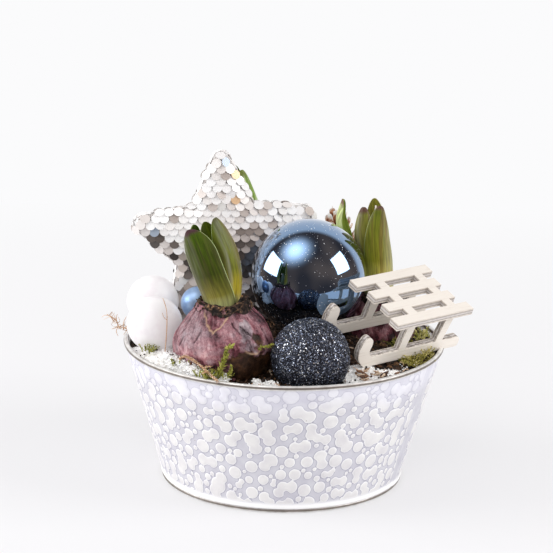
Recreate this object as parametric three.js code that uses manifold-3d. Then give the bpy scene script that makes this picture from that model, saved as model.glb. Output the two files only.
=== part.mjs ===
// Three forced hyacinths in an embossed tin bowl, dressed for winter with a sequinned star, glass balls,
// pearl balls, a pine cone, a plywood sled, artificial snow, moss, bark chips and dry twigs.
// Units are millimetres, +Z is up, and the origin is the middle of the pot's flat underside.
// The front of the arrangement faces -Y.

import * as THREE from 'three';
import { mergeVertices } from 'three/addons/utils/BufferGeometryUtils.js';
import Module from 'manifold-3d';

const wasm = await Module();
wasm.setup();

// Driving dimensions.

const GAP = 0.3; // clearance between neighbouring pieces
const FULL_TURN = Math.PI * 2;

const POT = {
  rimRadius: 100,
  height: 86.5,
  footRadius: 74.4,
  tin: 1.0,
  bead: 1.6, // radius of the rolled rim
  footRingHeight: 2.6,
  footBandHeight: 6.5,
  baseThickness: 1.2,
  segments: 36,
};

const PIT_TOP = 101; // pits are cut only as high as soil and snow may reach

const SOIL = {
  edgeHeight: 82.5,
  mound: 8.0,
  moundCentre: [15, 8],
  moundReach: 33,
  ripple: 0.35,
  rings: 7,
  spokes: 30,
};

// A leaf's path runs from its foot in the neck to its tip; cup is half the arc that its blade bends through,
// and twist is how far its tip is turned about the plant's axis.
const HYACINTH_A = {
  name: 'hyacinth_a',
  axis: [-36.4, -50.4],
  equator: 99,
  radius: 30.2,
  neckRadius: 13.6,
  neckHeight: 124.5,
  base: 76,
  taper: 0.35,
  lobes: 0.03,
  seed: 11,
  rootLength: 10,
  segments: 22,
  bud: { radius: 5.2, top: 148, lean: [-3, 1] },
  leaves: [
    {
      facing: -112,
      path: [[-40.9, -61.1], [-45.8, -61.8, 141], [-49.6, -60.6, 151], [-53.8, -58.4, 161],
        [-58.2, -56, 170.8]],
      halfWidth: 10.4,
      tipLength: 19,
      cup: 50,
      fine: true,
    },
    {
      facing: -48,
      path: [[-30.2, -57], [-29.9, -55.4, 142], [-32.8, -53.4, 156], [-37.6, -51.2, 167.5],
        [-42.6, -49.5, 177]],
      halfWidth: 9.4,
      tipLength: 36,
      cup: 52,
      fine: true,
    },
    {
      facing: 110,
      path: [[-40.2, -39.9], [-41.6, -37.6, 144], [-44.8, -37.4, 157], [-49.2, -38.6, 171.5]],
      halfWidth: 7.4,
      tipLength: 22,
      cup: 40,
      fine: false,
    },
    {
      facing: 176,
      path: [[-45.2, -49.8], [-50.6, -49, 146], [-56.2, -48.2, 162], [-55, -47.6, 172]],
      halfWidth: 5.6,
      tipLength: 12,
      cup: 66,
      twist: -50,
      fine: false,
    },
  ],
};

const HYACINTH_B = {
  name: 'hyacinth_b',
  axis: [58.4, 29],
  equator: 86,
  radius: 24.2,
  neckRadius: 13.2,
  neckHeight: 111,
  base: 66,
  lobes: 0.028,
  seed: 23,
  rootLength: 9,
  segments: 20,
  bud: { radius: 4.4, top: 167.4, lean: [-2.4, 0] },
  leaves: [
    {
      facing: 166,
      path: [[47.6, 32.4], [42.2, 39, 126], [37.6, 40.2, 137], [33.6, 39, 148], [32.2, 37.8, 157],
        [35.4, 35.6, 169.4]],
      halfWidth: 6.8,
      tipLength: 28,
      cup: 76,
      fine: true,
    },
    {
      facing: -104,
      path: [[56.2, 20.4], [52.6, 20.8, 130], [49.8, 22.2, 142], [48.2, 24.4, 153], [48.4, 27.4, 166.6]],
      halfWidth: 7.4,
      tipLength: 34,
      cup: 56,
      fine: true,
    },
    {
      facing: 78,
      path: [[60.6, 40.2], [60, 41, 130], [58.4, 40.4, 148], [55.4, 37.5, 170]],
      halfWidth: 7.2,
      tipLength: 24,
      cup: 44,
      fine: false,
    },
    {
      facing: -80,
      path: [[60.4, 17.7], [59.2, 14.6, 132], [57.8, 14.4, 147], [57.8, 16, 159], [58.7, 18.8, 169.6]],
      halfWidth: 8.8,
      tipLength: 38,
      cup: 50,
      fine: true,
    },
  ],
};

const HYACINTH_C = {
  name: 'hyacinth_c',
  axis: [-14.5, 70.5],
  equator: 90,
  radius: 20.4,
  neckRadius: 12.2,
  neckHeight: 111,
  base: 71,
  lobes: 0.028,
  seed: 37,
  rootLength: 8,
  segments: 18,
  bud: { radius: 4.4, top: 138, lean: [-3, 0] },
  leaves: [
    {
      facing: -60,
      path: [[-9.4, 61.7], [-16.6, 61.6, 140], [-24.8, 63, 158], [-30.4, 65.8, 180]],
      halfWidth: 7.4,
      tipLength: 34,
      cup: 46,
      fine: true,
    },
    {
      facing: 155,
      path: [[-23.7, 74.9], [-27.6, 74.8, 142], [-31.6, 73.2, 162], [-33.6, 71, 181.4]],
      halfWidth: 6.6,
      tipLength: 26,
      cup: 46,
      fine: false,
    },
    {
      facing: 45,
      path: [[-7.3, 77.7], [-10.6, 79.2, 130], [-15, 79.6, 146]],
      halfWidth: 6.6,
      tipLength: 20,
      cup: 44,
      fine: false,
    },
  ],
};

const LEAF = { footDepth: 7, blade: 1.7, bladeAtTip: 1.1, margin: 0.75, tipHalfWidth: 0.7 };

const STAR = {
  centre: [-38.7, 40, 136.9],
  yaw: 8, // its right side stands further back
  lean: 7.5, // from upright, towards the back
  turn: 2.5, // in its own plane
  tipRadius: 61,
  valleyRadius: 34,
  tipRound: 7,
  edgeHalf: 2.2,
  puff: 7.0,
  puffReach: 22,
  scaleWidth: 12.4,
  rowPitch: 7.2,
  scaleLift: 1.0,
  scallop: 1.5,
  step: 0.35, // half the slanted step under a scale's free edge
};

const LARGE_BALL = { centre: [15.3, 8, 126.5], radius: 35.2, detail: 4, neck: 4.3, neckLength: 4.6 };
const GLITTER_BALL = { centre: [16.2, -68.2, 97], radius: 23.4, detail: 3, neck: 4.0, neckLength: 4.6 };
const SMALL_BALLS = [
  { name: 'pearl_front', centre: [-79.4, -25, 103.0], radius: 17.1, detail: 3, colour: 0xf4f2f2 },
  { name: 'pearl_rear', centre: [-82.6, 12, 106.9], radius: 16.3, detail: 3, colour: 0xf4f2f2 },
  { name: 'ball_small', centre: [-53.8, -12, 113.2], radius: 10.2, detail: 2, colour: 0x2c5a94 },
];
const WIRE = { radius: 0.7, foot: 58, inBall: 6 };
const CAP = { wall: 1.0, reach: 6.5 };

const CONE = {
  foot: [33, 62, 88.5],
  height: 67,
  radius: 15.5,
  core: 8,
  rows: 8,
  perRow: 5,
  scaleWidth: 11,
  scaleThickness: 3,
};

const SLED = {
  corner: [56.2, -11.8, 133.7], // deck top, far edge, at the rear side of the front crossbar
  yaw: 40,
  roll: 22,
  slats: 4,
  slatWidth: 7.6,
  slatGap: 6.0,
  outerFront: -21.6,
  innerFront: -17.7,
  innerRear: 36.6,
  outerRear: 40.6,
  crossbars: [[-6.8, 0], [25.1, 31.3]],
  ply: 4.5,
  inset: 5.3,
  height: 33.4,
  rail: 7.7,
  railRear: 44.5,
  curlFront: -41.2,
  posts: [{ foot: [-8, -2], head: [-5.6, 1.4] }, { foot: [22.7, 28.8], head: [26.8, 33.2] }],
};

// Colours, as the eye sees them.

const COLOURS = {
  tin: 0xe6e4ea,
  zinc: 0xa9aaa8,
  soil: 0x3a2a20,
  snow: 0xeeecea,
  moss: 0x7d9136,
  bark: 0x8a5a3c,
  twig: 0x9b6440,
  bulb: 0x6b3a45,
  leaf: 0x5f7f2c,
  bud: 0xb9c58e,
  sequin: 0xd9d3cf,
  glass: 0x1f3f6b,
  glitter: 0x1c2436,
  metal: 0xc9c9c9,
  wood: 0xe6dccd,
  cone: 0x9a6a4a,
};

const finish = {
  matte: (colour) => new THREE.MeshStandardMaterial({ color: colour, roughness: 0.85, metalness: 0 }),
  satin: (colour) => new THREE.MeshStandardMaterial({ color: colour, roughness: 0.4, metalness: 0 }),
  metal: (colour) => new THREE.MeshStandardMaterial({ color: colour, roughness: 0.3, metalness: 1 }),
};

// Small tools.

const degrees = (angle) => (angle * Math.PI) / 180;
const mix = (a, b, share) => a + (b - a) * share;
const clamp = (value, low, high) => Math.min(high, Math.max(low, value));
const bell = (x, y, [cx, cy], reach) => Math.exp(-((x - cx) ** 2 + (y - cy) ** 2) / (2 * reach * reach));

function seededRandom(seed) {
  let state = seed;
  return () => {
    state = (state + 0x6d2b79f5) | 0;
    let mixed = Math.imul(state ^ (state >>> 15), 1 | state);
    mixed = (mixed + Math.imul(mixed ^ (mixed >>> 7), 61 | mixed)) ^ mixed;
    return ((mixed ^ (mixed >>> 14)) >>> 0) / 4294967296;
  };
}

// An indexed geometry that holds positions alone, with shared corners and no collapsed faces.
function bare(geometry) {
  const copy = geometry.clone();
  for (const name of Object.keys(copy.attributes)) if (name !== 'position') copy.deleteAttribute(name);
  const merged = mergeVertices(copy, 1e-3);
  const index = [];
  for (let i = 0; i < merged.index.count; i += 3) {
    const [a, b, c] = [0, 1, 2].map((k) => merged.index.getX(i + k));
    if (a !== b && b !== c && c !== a) index.push(a, b, c);
  }
  merged.setIndex(index);
  return merged;
}

function toSolid(geometry) {
  const plain = bare(geometry);
  const mesh = new wasm.Mesh({
    numProp: 3,
    vertProperties: new Float32Array(plain.attributes.position.array),
    triVerts: new Uint32Array(plain.index.array),
  });
  return new wasm.Manifold(mesh);
}

function toGeometry(solid) {
  const mesh = solid.getMesh();
  const geometry = new THREE.BufferGeometry();
  geometry.setAttribute('position', new THREE.BufferAttribute(mesh.vertProperties, 3));
  geometry.setIndex(new THREE.BufferAttribute(mesh.triVerts, 1));
  return bare(geometry);
}

const join = (solids) => solids.reduce((sum, solid) => sum.add(solid));
const cut = (solid, tools) => tools.reduce((rest, tool) => rest.subtract(tool), solid);

// The largest single body, so that no loose crumb stays behind a cut.
function mainBody(solid) {
  return solid.decompose().reduce((best, body) => (body.volume() > best.volume() ? body : best));
}

function placed(geometry, [x, y, z]) {
  return geometry.clone().translate(x, y, z);
}

// A geometry from corner points and faces, turned so that its faces point out.
function fromFaces(points, faces) {
  const geometry = new THREE.BufferGeometry();
  geometry.setAttribute('position', new THREE.Float32BufferAttribute(points.flat(), 3));
  let volume = 0;
  const corner = new THREE.Vector3();
  const [a, b, c] = [new THREE.Vector3(), new THREE.Vector3(), new THREE.Vector3()];
  for (const [i, j, k] of faces) {
    [a, b, c].forEach((v, n) => v.fromArray(points[[i, j, k][n]]));
    volume += a.dot(corner.crossVectors(b, c));
  }
  const turned = volume < 0 ? faces.map(([i, j, k]) => [i, k, j]) : faces;
  geometry.setIndex(turned.flat());
  return geometry;
}

// A closed plate between two grids of points of the same size, split into triangles alike on both faces.
function plateGeometry(front, back) {
  const rows = front.length;
  const columns = front[0].length;
  const points = [...front.flat(), ...back.flat()];
  const shift = rows * columns;
  const at = (row, column) => row * columns + column;
  const faces = [];
  for (let row = 0; row < rows - 1; row += 1) {
    for (let column = 0; column < columns - 1; column += 1) {
      const [a, b] = [at(row, column), at(row, column + 1)];
      const [d, c] = [at(row + 1, column), at(row + 1, column + 1)];
      faces.push([a, b, c], [a, c, d]);
      faces.push([a + shift, c + shift, b + shift], [a + shift, d + shift, c + shift]);
    }
  }
  const border = [];
  for (let column = 0; column < columns - 1; column += 1) border.push(at(0, column));
  for (let row = 0; row < rows - 1; row += 1) border.push(at(row, columns - 1));
  for (let column = columns - 1; column > 0; column -= 1) border.push(at(rows - 1, column));
  for (let row = rows - 1; row > 0; row -= 1) border.push(at(row, 0));
  border.forEach((p, i) => {
    const q = border[(i + 1) % border.length];
    faces.push([q, p, p + shift], [q, p + shift, q + shift]);
  });
  return fromFaces(points, faces);
}

// A closed round heap: a height function over a ring-and-spoke grid, on a flat underside.
function heapGeometry({ centre, rings, spokes, radius, underRadius = radius, top, under }) {
  const [cx, cy] = centre;
  const points = [[cx, cy, top(cx, cy)], [cx, cy, under]];
  const addRing = (share, reach, height) => {
    for (let spoke = 0; spoke < spokes; spoke += 1) {
      const angle = (spoke / spokes) * FULL_TURN;
      const [x, y] = [cx + share * reach(angle) * Math.cos(angle), cy + share * reach(angle) * Math.sin(angle)];
      points.push([x, y, height(x, y)]);
    }
  };
  for (let ring = 1; ring <= rings; ring += 1) addRing(ring / rings, radius, top);
  addRing(1, underRadius, () => under);
  const at = (ring, spoke) => 2 + (ring - 1) * spokes + (spoke % spokes);
  const faces = [];
  for (let spoke = 0; spoke < spokes; spoke += 1) {
    faces.push([0, at(1, spoke), at(1, spoke + 1)], [1, at(rings + 1, spoke + 1), at(rings + 1, spoke)]);
    for (let ring = 1; ring <= rings; ring += 1) {
      const [a, b] = [at(ring, spoke), at(ring, spoke + 1)];
      const [d, c] = [at(ring + 1, spoke), at(ring + 1, spoke + 1)];
      faces.push([a, c, b], [a, d, c]);
    }
  }
  return fromFaces(points, faces);
}

// A tapered rod along a smooth curve through the given points, with flat ends.
function rodGeometry({ points, radii, sides = 5, steps = 6 }) {
  const curve = new THREE.CatmullRomCurve3(points.map((p) => new THREE.Vector3(...p)));
  const frames = curve.computeFrenetFrames(steps, false);
  const corners = [];
  for (let step = 0; step <= steps; step += 1) {
    const share = step / steps;
    const centre = curve.getPointAt(share);
    const radius = mix(radii[0], radii[1], share);
    for (let side = 0; side < sides; side += 1) {
      const angle = (side / sides) * FULL_TURN;
      const corner = centre.clone()
        .addScaledVector(frames.normals[step], radius * Math.cos(angle))
        .addScaledVector(frames.binormals[step], radius * Math.sin(angle));
      corners.push(corner.toArray());
    }
  }
  const last = steps * sides;
  const faces = [];
  for (let side = 1; side < sides - 1; side += 1) {
    faces.push([0, side + 1, side], [last, last + side, last + side + 1]);
  }
  for (let step = 0; step < steps; step += 1) {
    for (let side = 0; side < sides; side += 1) {
      const next = (side + 1) % sides;
      const [a, b] = [step * sides + side, step * sides + next];
      faces.push([a, b, b + sides], [a, b + sides, a + sides]);
    }
  }
  return fromFaces(corners, faces);
}

function cylinderSolid([x, y], radius, low, high, sides = 10) {
  const geometry = new THREE.CylinderGeometry(radius, radius, high - low, sides).rotateX(Math.PI / 2);
  return toSolid(placed(geometry, [x, y, (low + high) / 2]));
}

// The part, which each section below adds its meshes to.

const part = new THREE.Group();

function addMesh(name, geometry, material, holder = part) {
  geometry.computeVertexNormals();
  const mesh = new THREE.Mesh(geometry, material);
  mesh.name = name;
  holder.add(mesh);
  return mesh;
}

// Pot: the tin wall with its rolled rim and foot ring, and the bottom disc.

const wallTop = POT.height - POT.bead;
const wallSlope = (POT.rimRadius - POT.bead - POT.footRadius) / wallTop;
const wallOuter = (z) => POT.footRadius + wallSlope * z;
const wallInner = (z) => wallOuter(z) - POT.tin;

function potWallGeometry() {
  const ringInner = POT.footRadius - 1.4;
  const profile = [
    [ringInner, 0],
    [POT.footRadius, 0],
    [POT.footRadius + 0.7, 0.7],
    [POT.footRadius + 0.7, 1.9],
    [wallOuter(POT.footRingHeight) - 0.5, POT.footRingHeight],
    [wallOuter(POT.footRingHeight + 1.2) + 0.9, POT.footRingHeight + 1.2],
    [wallOuter(POT.footBandHeight), POT.footBandHeight],
    [wallOuter(wallTop - 2.5), wallTop - 2.5],
  ];
  const beadCentre = POT.rimRadius - POT.bead;
  for (let step = 0; step <= 5; step += 1) {
    const angle = degrees(mix(-70, 200, step / 5));
    profile.push([beadCentre + POT.bead * Math.cos(angle), wallTop + POT.bead * Math.sin(angle)]);
  }
  profile.push([wallInner(wallTop - 3), wallTop - 3], [wallInner(POT.footRingHeight), POT.footRingHeight]);
  profile.push([ringInner, POT.footRingHeight - 0.4], profile[0]);
  const points = profile.map(([r, z]) => new THREE.Vector2(r, z));
  return bare(new THREE.LatheGeometry(points, POT.segments).rotateX(Math.PI / 2));
}

function potBaseGeometry() {
  const radius = POT.footRadius - 1.4 - GAP;
  const disc = new THREE.CylinderGeometry(radius, radius, POT.baseThickness, POT.segments).rotateX(Math.PI / 2);
  return bare(placed(disc, [0, 0, POT.baseThickness / 2]));
}

addMesh('pot_wall', potWallGeometry(), finish.satin(COLOURS.tin));
addMesh('pot_base', potBaseGeometry(), finish.metal(COLOURS.zinc));

// Bulbs, leaves and buds of the three hyacinths.

// The bulb's outline from its basal plate to the lip round the leaves; less taper makes its foot wider.
function bulbProfile({ equator, radius, neckRadius, neckHeight, base, taper = 0.72 }, grow) {
  const shoulder = neckHeight - equator;
  const belly = equator - base;
  const profile = [[0, base - grow], [radius * 0.3 + grow, base - grow]];
  for (let step = 1; step <= 4; step += 1) {
    const angle = degrees(mix(-76, 0, step / 4));
    profile.push([radius * Math.cos(angle) ** taper + grow, equator + belly * 0.92 * Math.sin(angle)]);
  }
  const lip = neckRadius + 2.6;
  for (let step = 1; step <= 4; step += 1) {
    const share = step / 4;
    const bend = Math.cos((share * Math.PI) / 2) ** 1.2;
    profile.push([mix(lip, radius, bend) + grow, equator + shoulder * share * 0.97]);
  }
  return profile;
}

const bulbShape = (plant) => {
  const random = seededRandom(plant.seed);
  const phases = [0, 1, 2].map(() => random() * FULL_TURN);
  return (angle, z, reach) => {
    if (reach < plant.neckRadius + 0.1) return 1;
    const high = clamp((plant.neckHeight - z) / (plant.neckHeight - plant.equator), 0, 1);
    const lobes = Math.sin(2 * angle + phases[0]) + 0.6 * Math.sin(3 * angle + phases[1] + z * 0.06);
    return 1 + plant.lobes * high * (lobes + 0.35 * Math.sin(9 * angle + phases[2]));
  };
};

// A lathed solid whose radius swells and dips round its axis by a formula.
function lobedLathe(profile, segments, axis, swell) {
  const points = profile.map(([r, z]) => new THREE.Vector2(r, z));
  const geometry = bare(new THREE.LatheGeometry(points, segments).rotateX(Math.PI / 2));
  const position = geometry.attributes.position;
  for (let i = 0; i < position.count; i += 1) {
    const [x, y, z] = [position.getX(i), position.getY(i), position.getZ(i)];
    const size = swell(Math.atan2(y, x), z, Math.hypot(x, y));
    position.setXYZ(i, axis[0] + x * size, axis[1] + y * size, z);
  }
  return geometry;
}

const pitFloor = (plant) => plant.neckHeight - LEAF.footDepth;

function bulbGeometry(plant) {
  const random = seededRandom(plant.seed + 100);
  const teeth = plant.neckHeight + 1.2;
  const profile = bulbProfile(plant, 0);
  profile.push([plant.neckRadius + 1.6, teeth], [plant.neckRadius, teeth - 0.8]);
  profile.push([plant.neckRadius, pitFloor(plant)], [0, pitFloor(plant)]);
  const shape = bulbShape(plant);
  const body = lobedLathe(profile, plant.segments, plant.axis, shape);
  const position = body.attributes.position;
  for (let i = 0; i < position.count; i += 1) {
    const z = position.getZ(i);
    if (z > plant.neckHeight - 0.2) position.setZ(i, z + mix(-1.4, 3.6, random() ** 2));
  }
  const roots = [];
  for (let k = 0; k < 5; k += 1) {
    const angle = (k / 5) * FULL_TURN + random();
    const reach = [Math.cos(angle), Math.sin(angle)];
    const path = [[0.1, 3], [0.22, -4], [0.3 + 0.1 * random(), -plant.rootLength]].map(([share, drop]) => [
      plant.axis[0] + plant.radius * share * reach[0],
      plant.axis[1] + plant.radius * share * reach[1],
      plant.base + drop,
    ]);
    roots.push(toSolid(rodGeometry({ points: path, radii: [1.4, 0.6], sides: 3, steps: 2 })));
  }
  return toGeometry(mainBody(join([toSolid(body), ...roots])));
}

// The room that a bulb and its roots take up in the soil.
function bulbPit(plant) {
  const profile = bulbProfile(plant, 0.5).filter(([, z]) => z < PIT_TOP);
  profile.push([0, profile.at(-1)[1]]);
  const body = toSolid(lobedLathe(profile, plant.segments, plant.axis, bulbShape(plant)));
  const wide = plant.radius * 0.5;
  const hole = cylinderSolid(plant.axis, wide, plant.base - plant.rootLength - 1, plant.base + 4, 12);
  return body.add(hole);
}

// A leaf blade from its foot inside the bulb's neck to its hooded tip, cupped round the plant's axis.
function leafGeometry(plant, { facing, path, halfWidth, tipLength, cup, twist = 0, fine }) {
  const rows = fine ? 10 : 8;
  const columns = fine ? 7 : 5;
  const [foot, ...rest] = path;
  const inNeck = [[...foot, pitFloor(plant) + GAP], [...foot, plant.neckHeight + 2]];
  const curve = new THREE.CatmullRomCurve3([...inNeck, ...rest].map((p) => new THREE.Vector3(...p)));
  const length = curve.getLength();
  const ring = Math.hypot(foot[0] - plant.axis[0], foot[1] - plant.axis[1]);
  const footArc = Math.asin(clamp(halfWidth / ring, 0, 0.92));
  const [front, back] = [[], []];
  for (let row = 0; row < rows; row += 1) {
    const share = 1 - (1 - row / (rows - 1)) ** 1.25;
    const centre = curve.getPointAt(share);
    const along = curve.getTangentAt(share);
    const heading = degrees(facing + twist * share ** 2);
    const out = new THREE.Vector3(Math.cos(heading), Math.sin(heading), 0);
    const normal = out.clone().addScaledVector(along, -out.dot(along)).normalize();
    const side = new THREE.Vector3().crossVectors(along, normal);
    const left = clamp(((1 - share) * length) / tipLength, 0, 1);
    const half = mix(LEAF.tipHalfWidth, halfWidth, (1 - (1 - left) ** 2) ** 0.62);
    const arc = mix(footArc, degrees(cup), Math.min(1, share * 1.6));
    const bow = half / Math.sin(arc);
    const blade = mix(LEAF.blade, LEAF.bladeAtTip, share);
    const [frontRow, backRow] = [[], []];
    for (let column = 0; column < columns; column += 1) {
      const across = mix(-1, 1, column / (columns - 1));
      const angle = across * arc;
      const outward = normal.clone().multiplyScalar(Math.cos(angle)).addScaledVector(side, Math.sin(angle));
      const middle = centre.clone().addScaledVector(normal, -bow).addScaledVector(outward, bow);
      const thick = mix(blade, LEAF.margin, Math.abs(across) ** 1.5) / 2;
      frontRow.push(middle.clone().addScaledVector(outward, thick).toArray());
      backRow.push(middle.clone().addScaledVector(outward, -thick).toArray());
    }
    front.push(frontRow);
    back.push(backRow);
  }
  return plateGeometry(front, back);
}

// The flower bud: a slim spike whose surface is raised into rows of closed florets.
function budGeometry(plant) {
  const { radius, top, lean } = plant.bud;
  const foot = pitFloor(plant) + GAP;
  const rings = 8;
  const profile = [[0, foot], [radius * 0.75, foot]];
  for (let ring = 1; ring <= rings; ring += 1) {
    const share = ring / (rings + 1);
    profile.push([radius * Math.sin(Math.PI * mix(0.32, 0.97, share)) ** 0.8, mix(foot, top, share)]);
  }
  profile.push([0, top]);
  const floret = (angle, z) => 1 + 0.11 * Math.sin(5 * angle + z * 1.1) * Math.sin(z * 0.75);
  const bud = lobedLathe(profile, 10, plant.axis, floret);
  const position = bud.attributes.position;
  for (let i = 0; i < position.count; i += 1) {
    const rise = ((position.getZ(i) - foot) / (top - foot)) ** 2;
    position.setXY(i, position.getX(i) + lean[0] * rise, position.getY(i) + lean[1] * rise);
  }
  return bud;
}

const HYACINTHS = [HYACINTH_A, HYACINTH_B, HYACINTH_C];
for (const plant of HYACINTHS) {
  addMesh(`${plant.name}_bulb`, bulbGeometry(plant), finish.satin(COLOURS.bulb));
  plant.leaves.forEach((leaf, i) => {
    addMesh(`${plant.name}_leaf_${i + 1}`, leafGeometry(plant, leaf), finish.satin(COLOURS.leaf));
  });
  addMesh(`${plant.name}_bud`, budGeometry(plant), finish.satin(COLOURS.bud));
}

// Padded star with overlapping sequins, larger than life, as rows of raised scales on both faces.

function starOutline(grow) {
  const arms = 5;
  const half = Math.PI / arms;
  const shape = new THREE.Shape();
  const tipCentre = STAR.tipRadius - STAR.tipRound;
  const tipRound = STAR.tipRound + grow;
  const valleyRadius = STAR.valleyRadius + grow;
  const valley = [valleyRadius * Math.cos(half), valleyRadius * Math.sin(half)];
  const run = Math.hypot(tipCentre - valley[0], valley[1]);
  const slope = Math.atan2(valley[1], tipCentre - valley[0]);
  const sweep = Math.PI - slope - Math.acos(tipRound / run);
  for (let arm = 0; arm < arms; arm += 1) {
    const axis = degrees(90 + STAR.turn) + arm * 2 * half;
    const centre = [tipCentre * Math.cos(axis), tipCentre * Math.sin(axis)];
    for (let step = 0; step <= 6; step += 1) {
      const angle = axis + mix(-sweep, sweep, step / 6);
      const point = [centre[0] + tipRound * Math.cos(angle), centre[1] + tipRound * Math.sin(angle)];
      if (arm === 0 && step === 0) shape.moveTo(...point);
      else shape.lineTo(...point);
    }
    const dip = axis + half;
    shape.lineTo(valleyRadius * Math.cos(dip), valleyRadius * Math.sin(dip));
  }
  shape.closePath();
  return shape;
}

function distanceToOutline(x, y, outline) {
  let least = Infinity;
  outline.forEach((a, i) => {
    const b = outline[(i + 1) % outline.length];
    const [dx, dy] = [b.x - a.x, b.y - a.y];
    const share = clamp(((x - a.x) * dx + (y - a.y) * dy) / (dx * dx + dy * dy || 1), 0, 1);
    least = Math.min(least, Math.hypot(x - a.x - share * dx, y - a.y - share * dy));
  });
  return least;
}

function isInside(x, y, outline) {
  let inside = false;
  outline.forEach((a, i) => {
    const b = outline[(i + 1) % outline.length];
    if (a.y > y !== b.y > y && x < ((b.x - a.x) * (y - a.y)) / (b.y - a.y) + a.x) inside = !inside;
  });
  return inside;
}

// The padded star in its own plane; grown and without scales, it is the room that it takes up.
function starSolid({ grow = 0, lift = STAR.scaleLift, pitch = STAR.rowPitch, width = STAR.scaleWidth } = {}) {
  const shape = starOutline(grow);
  const outline = shape.getPoints();
  const halfThickness = (x, y) => {
    const depth = isInside(x, y, outline) ? distanceToOutline(x, y, outline) : 0;
    const share = 1 - Math.min(1, depth / STAR.puffReach);
    return STAR.edgeHalf + grow + STAR.puff * Math.sqrt(1 - share * share);
  };
  const reach = STAR.tipRadius + 2 + grow;
  const rows = Math.ceil((2 * reach) / pitch);
  const columns = Math.ceil((2 * reach) / (width / 2));
  const [front, back] = [[], []];
  const addLine = (line, shift, raise) => {
    const [frontRow, backRow] = [[], []];
    for (let column = 0; column <= columns; column += 1) {
      const x = -reach + (column * width) / 2;
      const zigzag = (column + line) % 2 === 0 ? -STAR.scallop : STAR.scallop;
      const y = reach - line * pitch + zigzag + shift;
      const half = halfThickness(x, y) + raise;
      frontRow.push([x, y, half]);
      backRow.push([x, y, -half]);
    }
    front.push(frontRow);
    back.push(backRow);
  };
  for (let row = 0; row < rows; row += 1) {
    addLine(row, -STAR.step, 0);
    addLine(row + 1, STAR.step, lift);
  }
  const sheet = toSolid(plateGeometry(front, back));
  const thick = 4 * (STAR.edgeHalf + STAR.puff);
  const prism = new THREE.ExtrudeGeometry(shape, { depth: thick, bevelEnabled: false });
  return mainBody(sheet.intersect(toSolid(prism.translate(0, 0, -thick / 2))));
}

const starFrame = new THREE.Group();
{
  const yaw = degrees(STAR.yaw);
  const lean = degrees(STAR.lean);
  const right = new THREE.Vector3(Math.cos(yaw), Math.sin(yaw), 0);
  const behind = new THREE.Vector3(-Math.sin(yaw), Math.cos(yaw), 0);
  const up = behind.multiplyScalar(Math.sin(lean)).add(new THREE.Vector3(0, 0, Math.cos(lean)));
  const facing = new THREE.Vector3().crossVectors(right, up);
  starFrame.applyMatrix4(new THREE.Matrix4().makeBasis(right, up, facing).setPosition(...STAR.centre));
}
part.add(starFrame);
starFrame.updateMatrixWorld(true);
addMesh('star', toGeometry(starSolid()), finish.metal(COLOURS.sequin), starFrame);

const plainStar = toGeometry(starSolid({ grow: STAR.scaleLift + 0.4, lift: 0, pitch: 11, width: 20 }));
const starRoom = toSolid(plainStar.applyMatrix4(starFrame.matrixWorld));

// Balls: glass spheres with a neck and a metal cap below, or with a wire.

function sphereAt({ centre, radius, detail }, grow = 0) {
  return toSolid(placed(new THREE.IcosahedronGeometry(radius + grow, detail), centre));
}

function cappedBall(name, ball, material) {
  const [x, y, z] = ball.centre;
  const low = z - ball.radius;
  const neckFoot = low - ball.neckLength + 1.5;
  const neck = cylinderSolid([x, y], ball.neck, neckFoot, low + 4, 12);
  addMesh(name, toGeometry(sphereAt(ball).add(neck)), material);
  const outer = ball.neck + GAP + CAP.wall;
  const rimHeight = low - 0.2;
  const floor = neckFoot - GAP;
  const cap = cylinderSolid([x, y], outer, floor - CAP.wall, rimHeight, 14);
  const hollow = cylinderSolid([x, y], ball.neck + GAP, floor, rimHeight + 5, 12);
  const clear = sphereAt(ball, GAP);
  addMesh(`${name}_cap`, toGeometry(cut(cap, [hollow, clear])), finish.metal(COLOURS.metal));
}

// The room that a ball, its cap or its wire takes up in the soil.
function cappedBallPit(ball) {
  const [x, y, z] = ball.centre;
  const low = z - ball.radius;
  const outer = ball.neck + 2 * GAP + CAP.wall;
  return sphereAt(ball, GAP).add(cylinderSolid([x, y], outer, low - CAP.reach, low + 4, 14));
}

const ballOnWire = (ball) => ({
  low: ball.centre[2] - ball.radius,
  hole: (grow, foot, head) => cylinderSolid(ball.centre, WIRE.radius + grow, foot, head, 6),
});

function wiredBall({ name, colour, ...ball }) {
  const { low, hole } = ballOnWire(ball);
  const drilled = sphereAt(ball).subtract(hole(GAP, low - 2, low + WIRE.inBall));
  addMesh(name, toGeometry(drilled), finish.satin(colour));
  addMesh(`${name}_wire`, toGeometry(hole(0, WIRE.foot, low + WIRE.inBall - GAP)), finish.metal(COLOURS.metal));
}

cappedBall('ball_large', LARGE_BALL, finish.metal(COLOURS.glass));
cappedBall('ball_glitter', GLITTER_BALL, finish.satin(COLOURS.glitter));
SMALL_BALLS.forEach(wiredBall);

const wireHoles = SMALL_BALLS.map((ball) => {
  const { low, hole } = ballOnWire(ball);
  return hole(GAP + 0.1, WIRE.foot - GAP, low + 1);
});

// Pine cone: woody scales in rows round a slim core.

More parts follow.
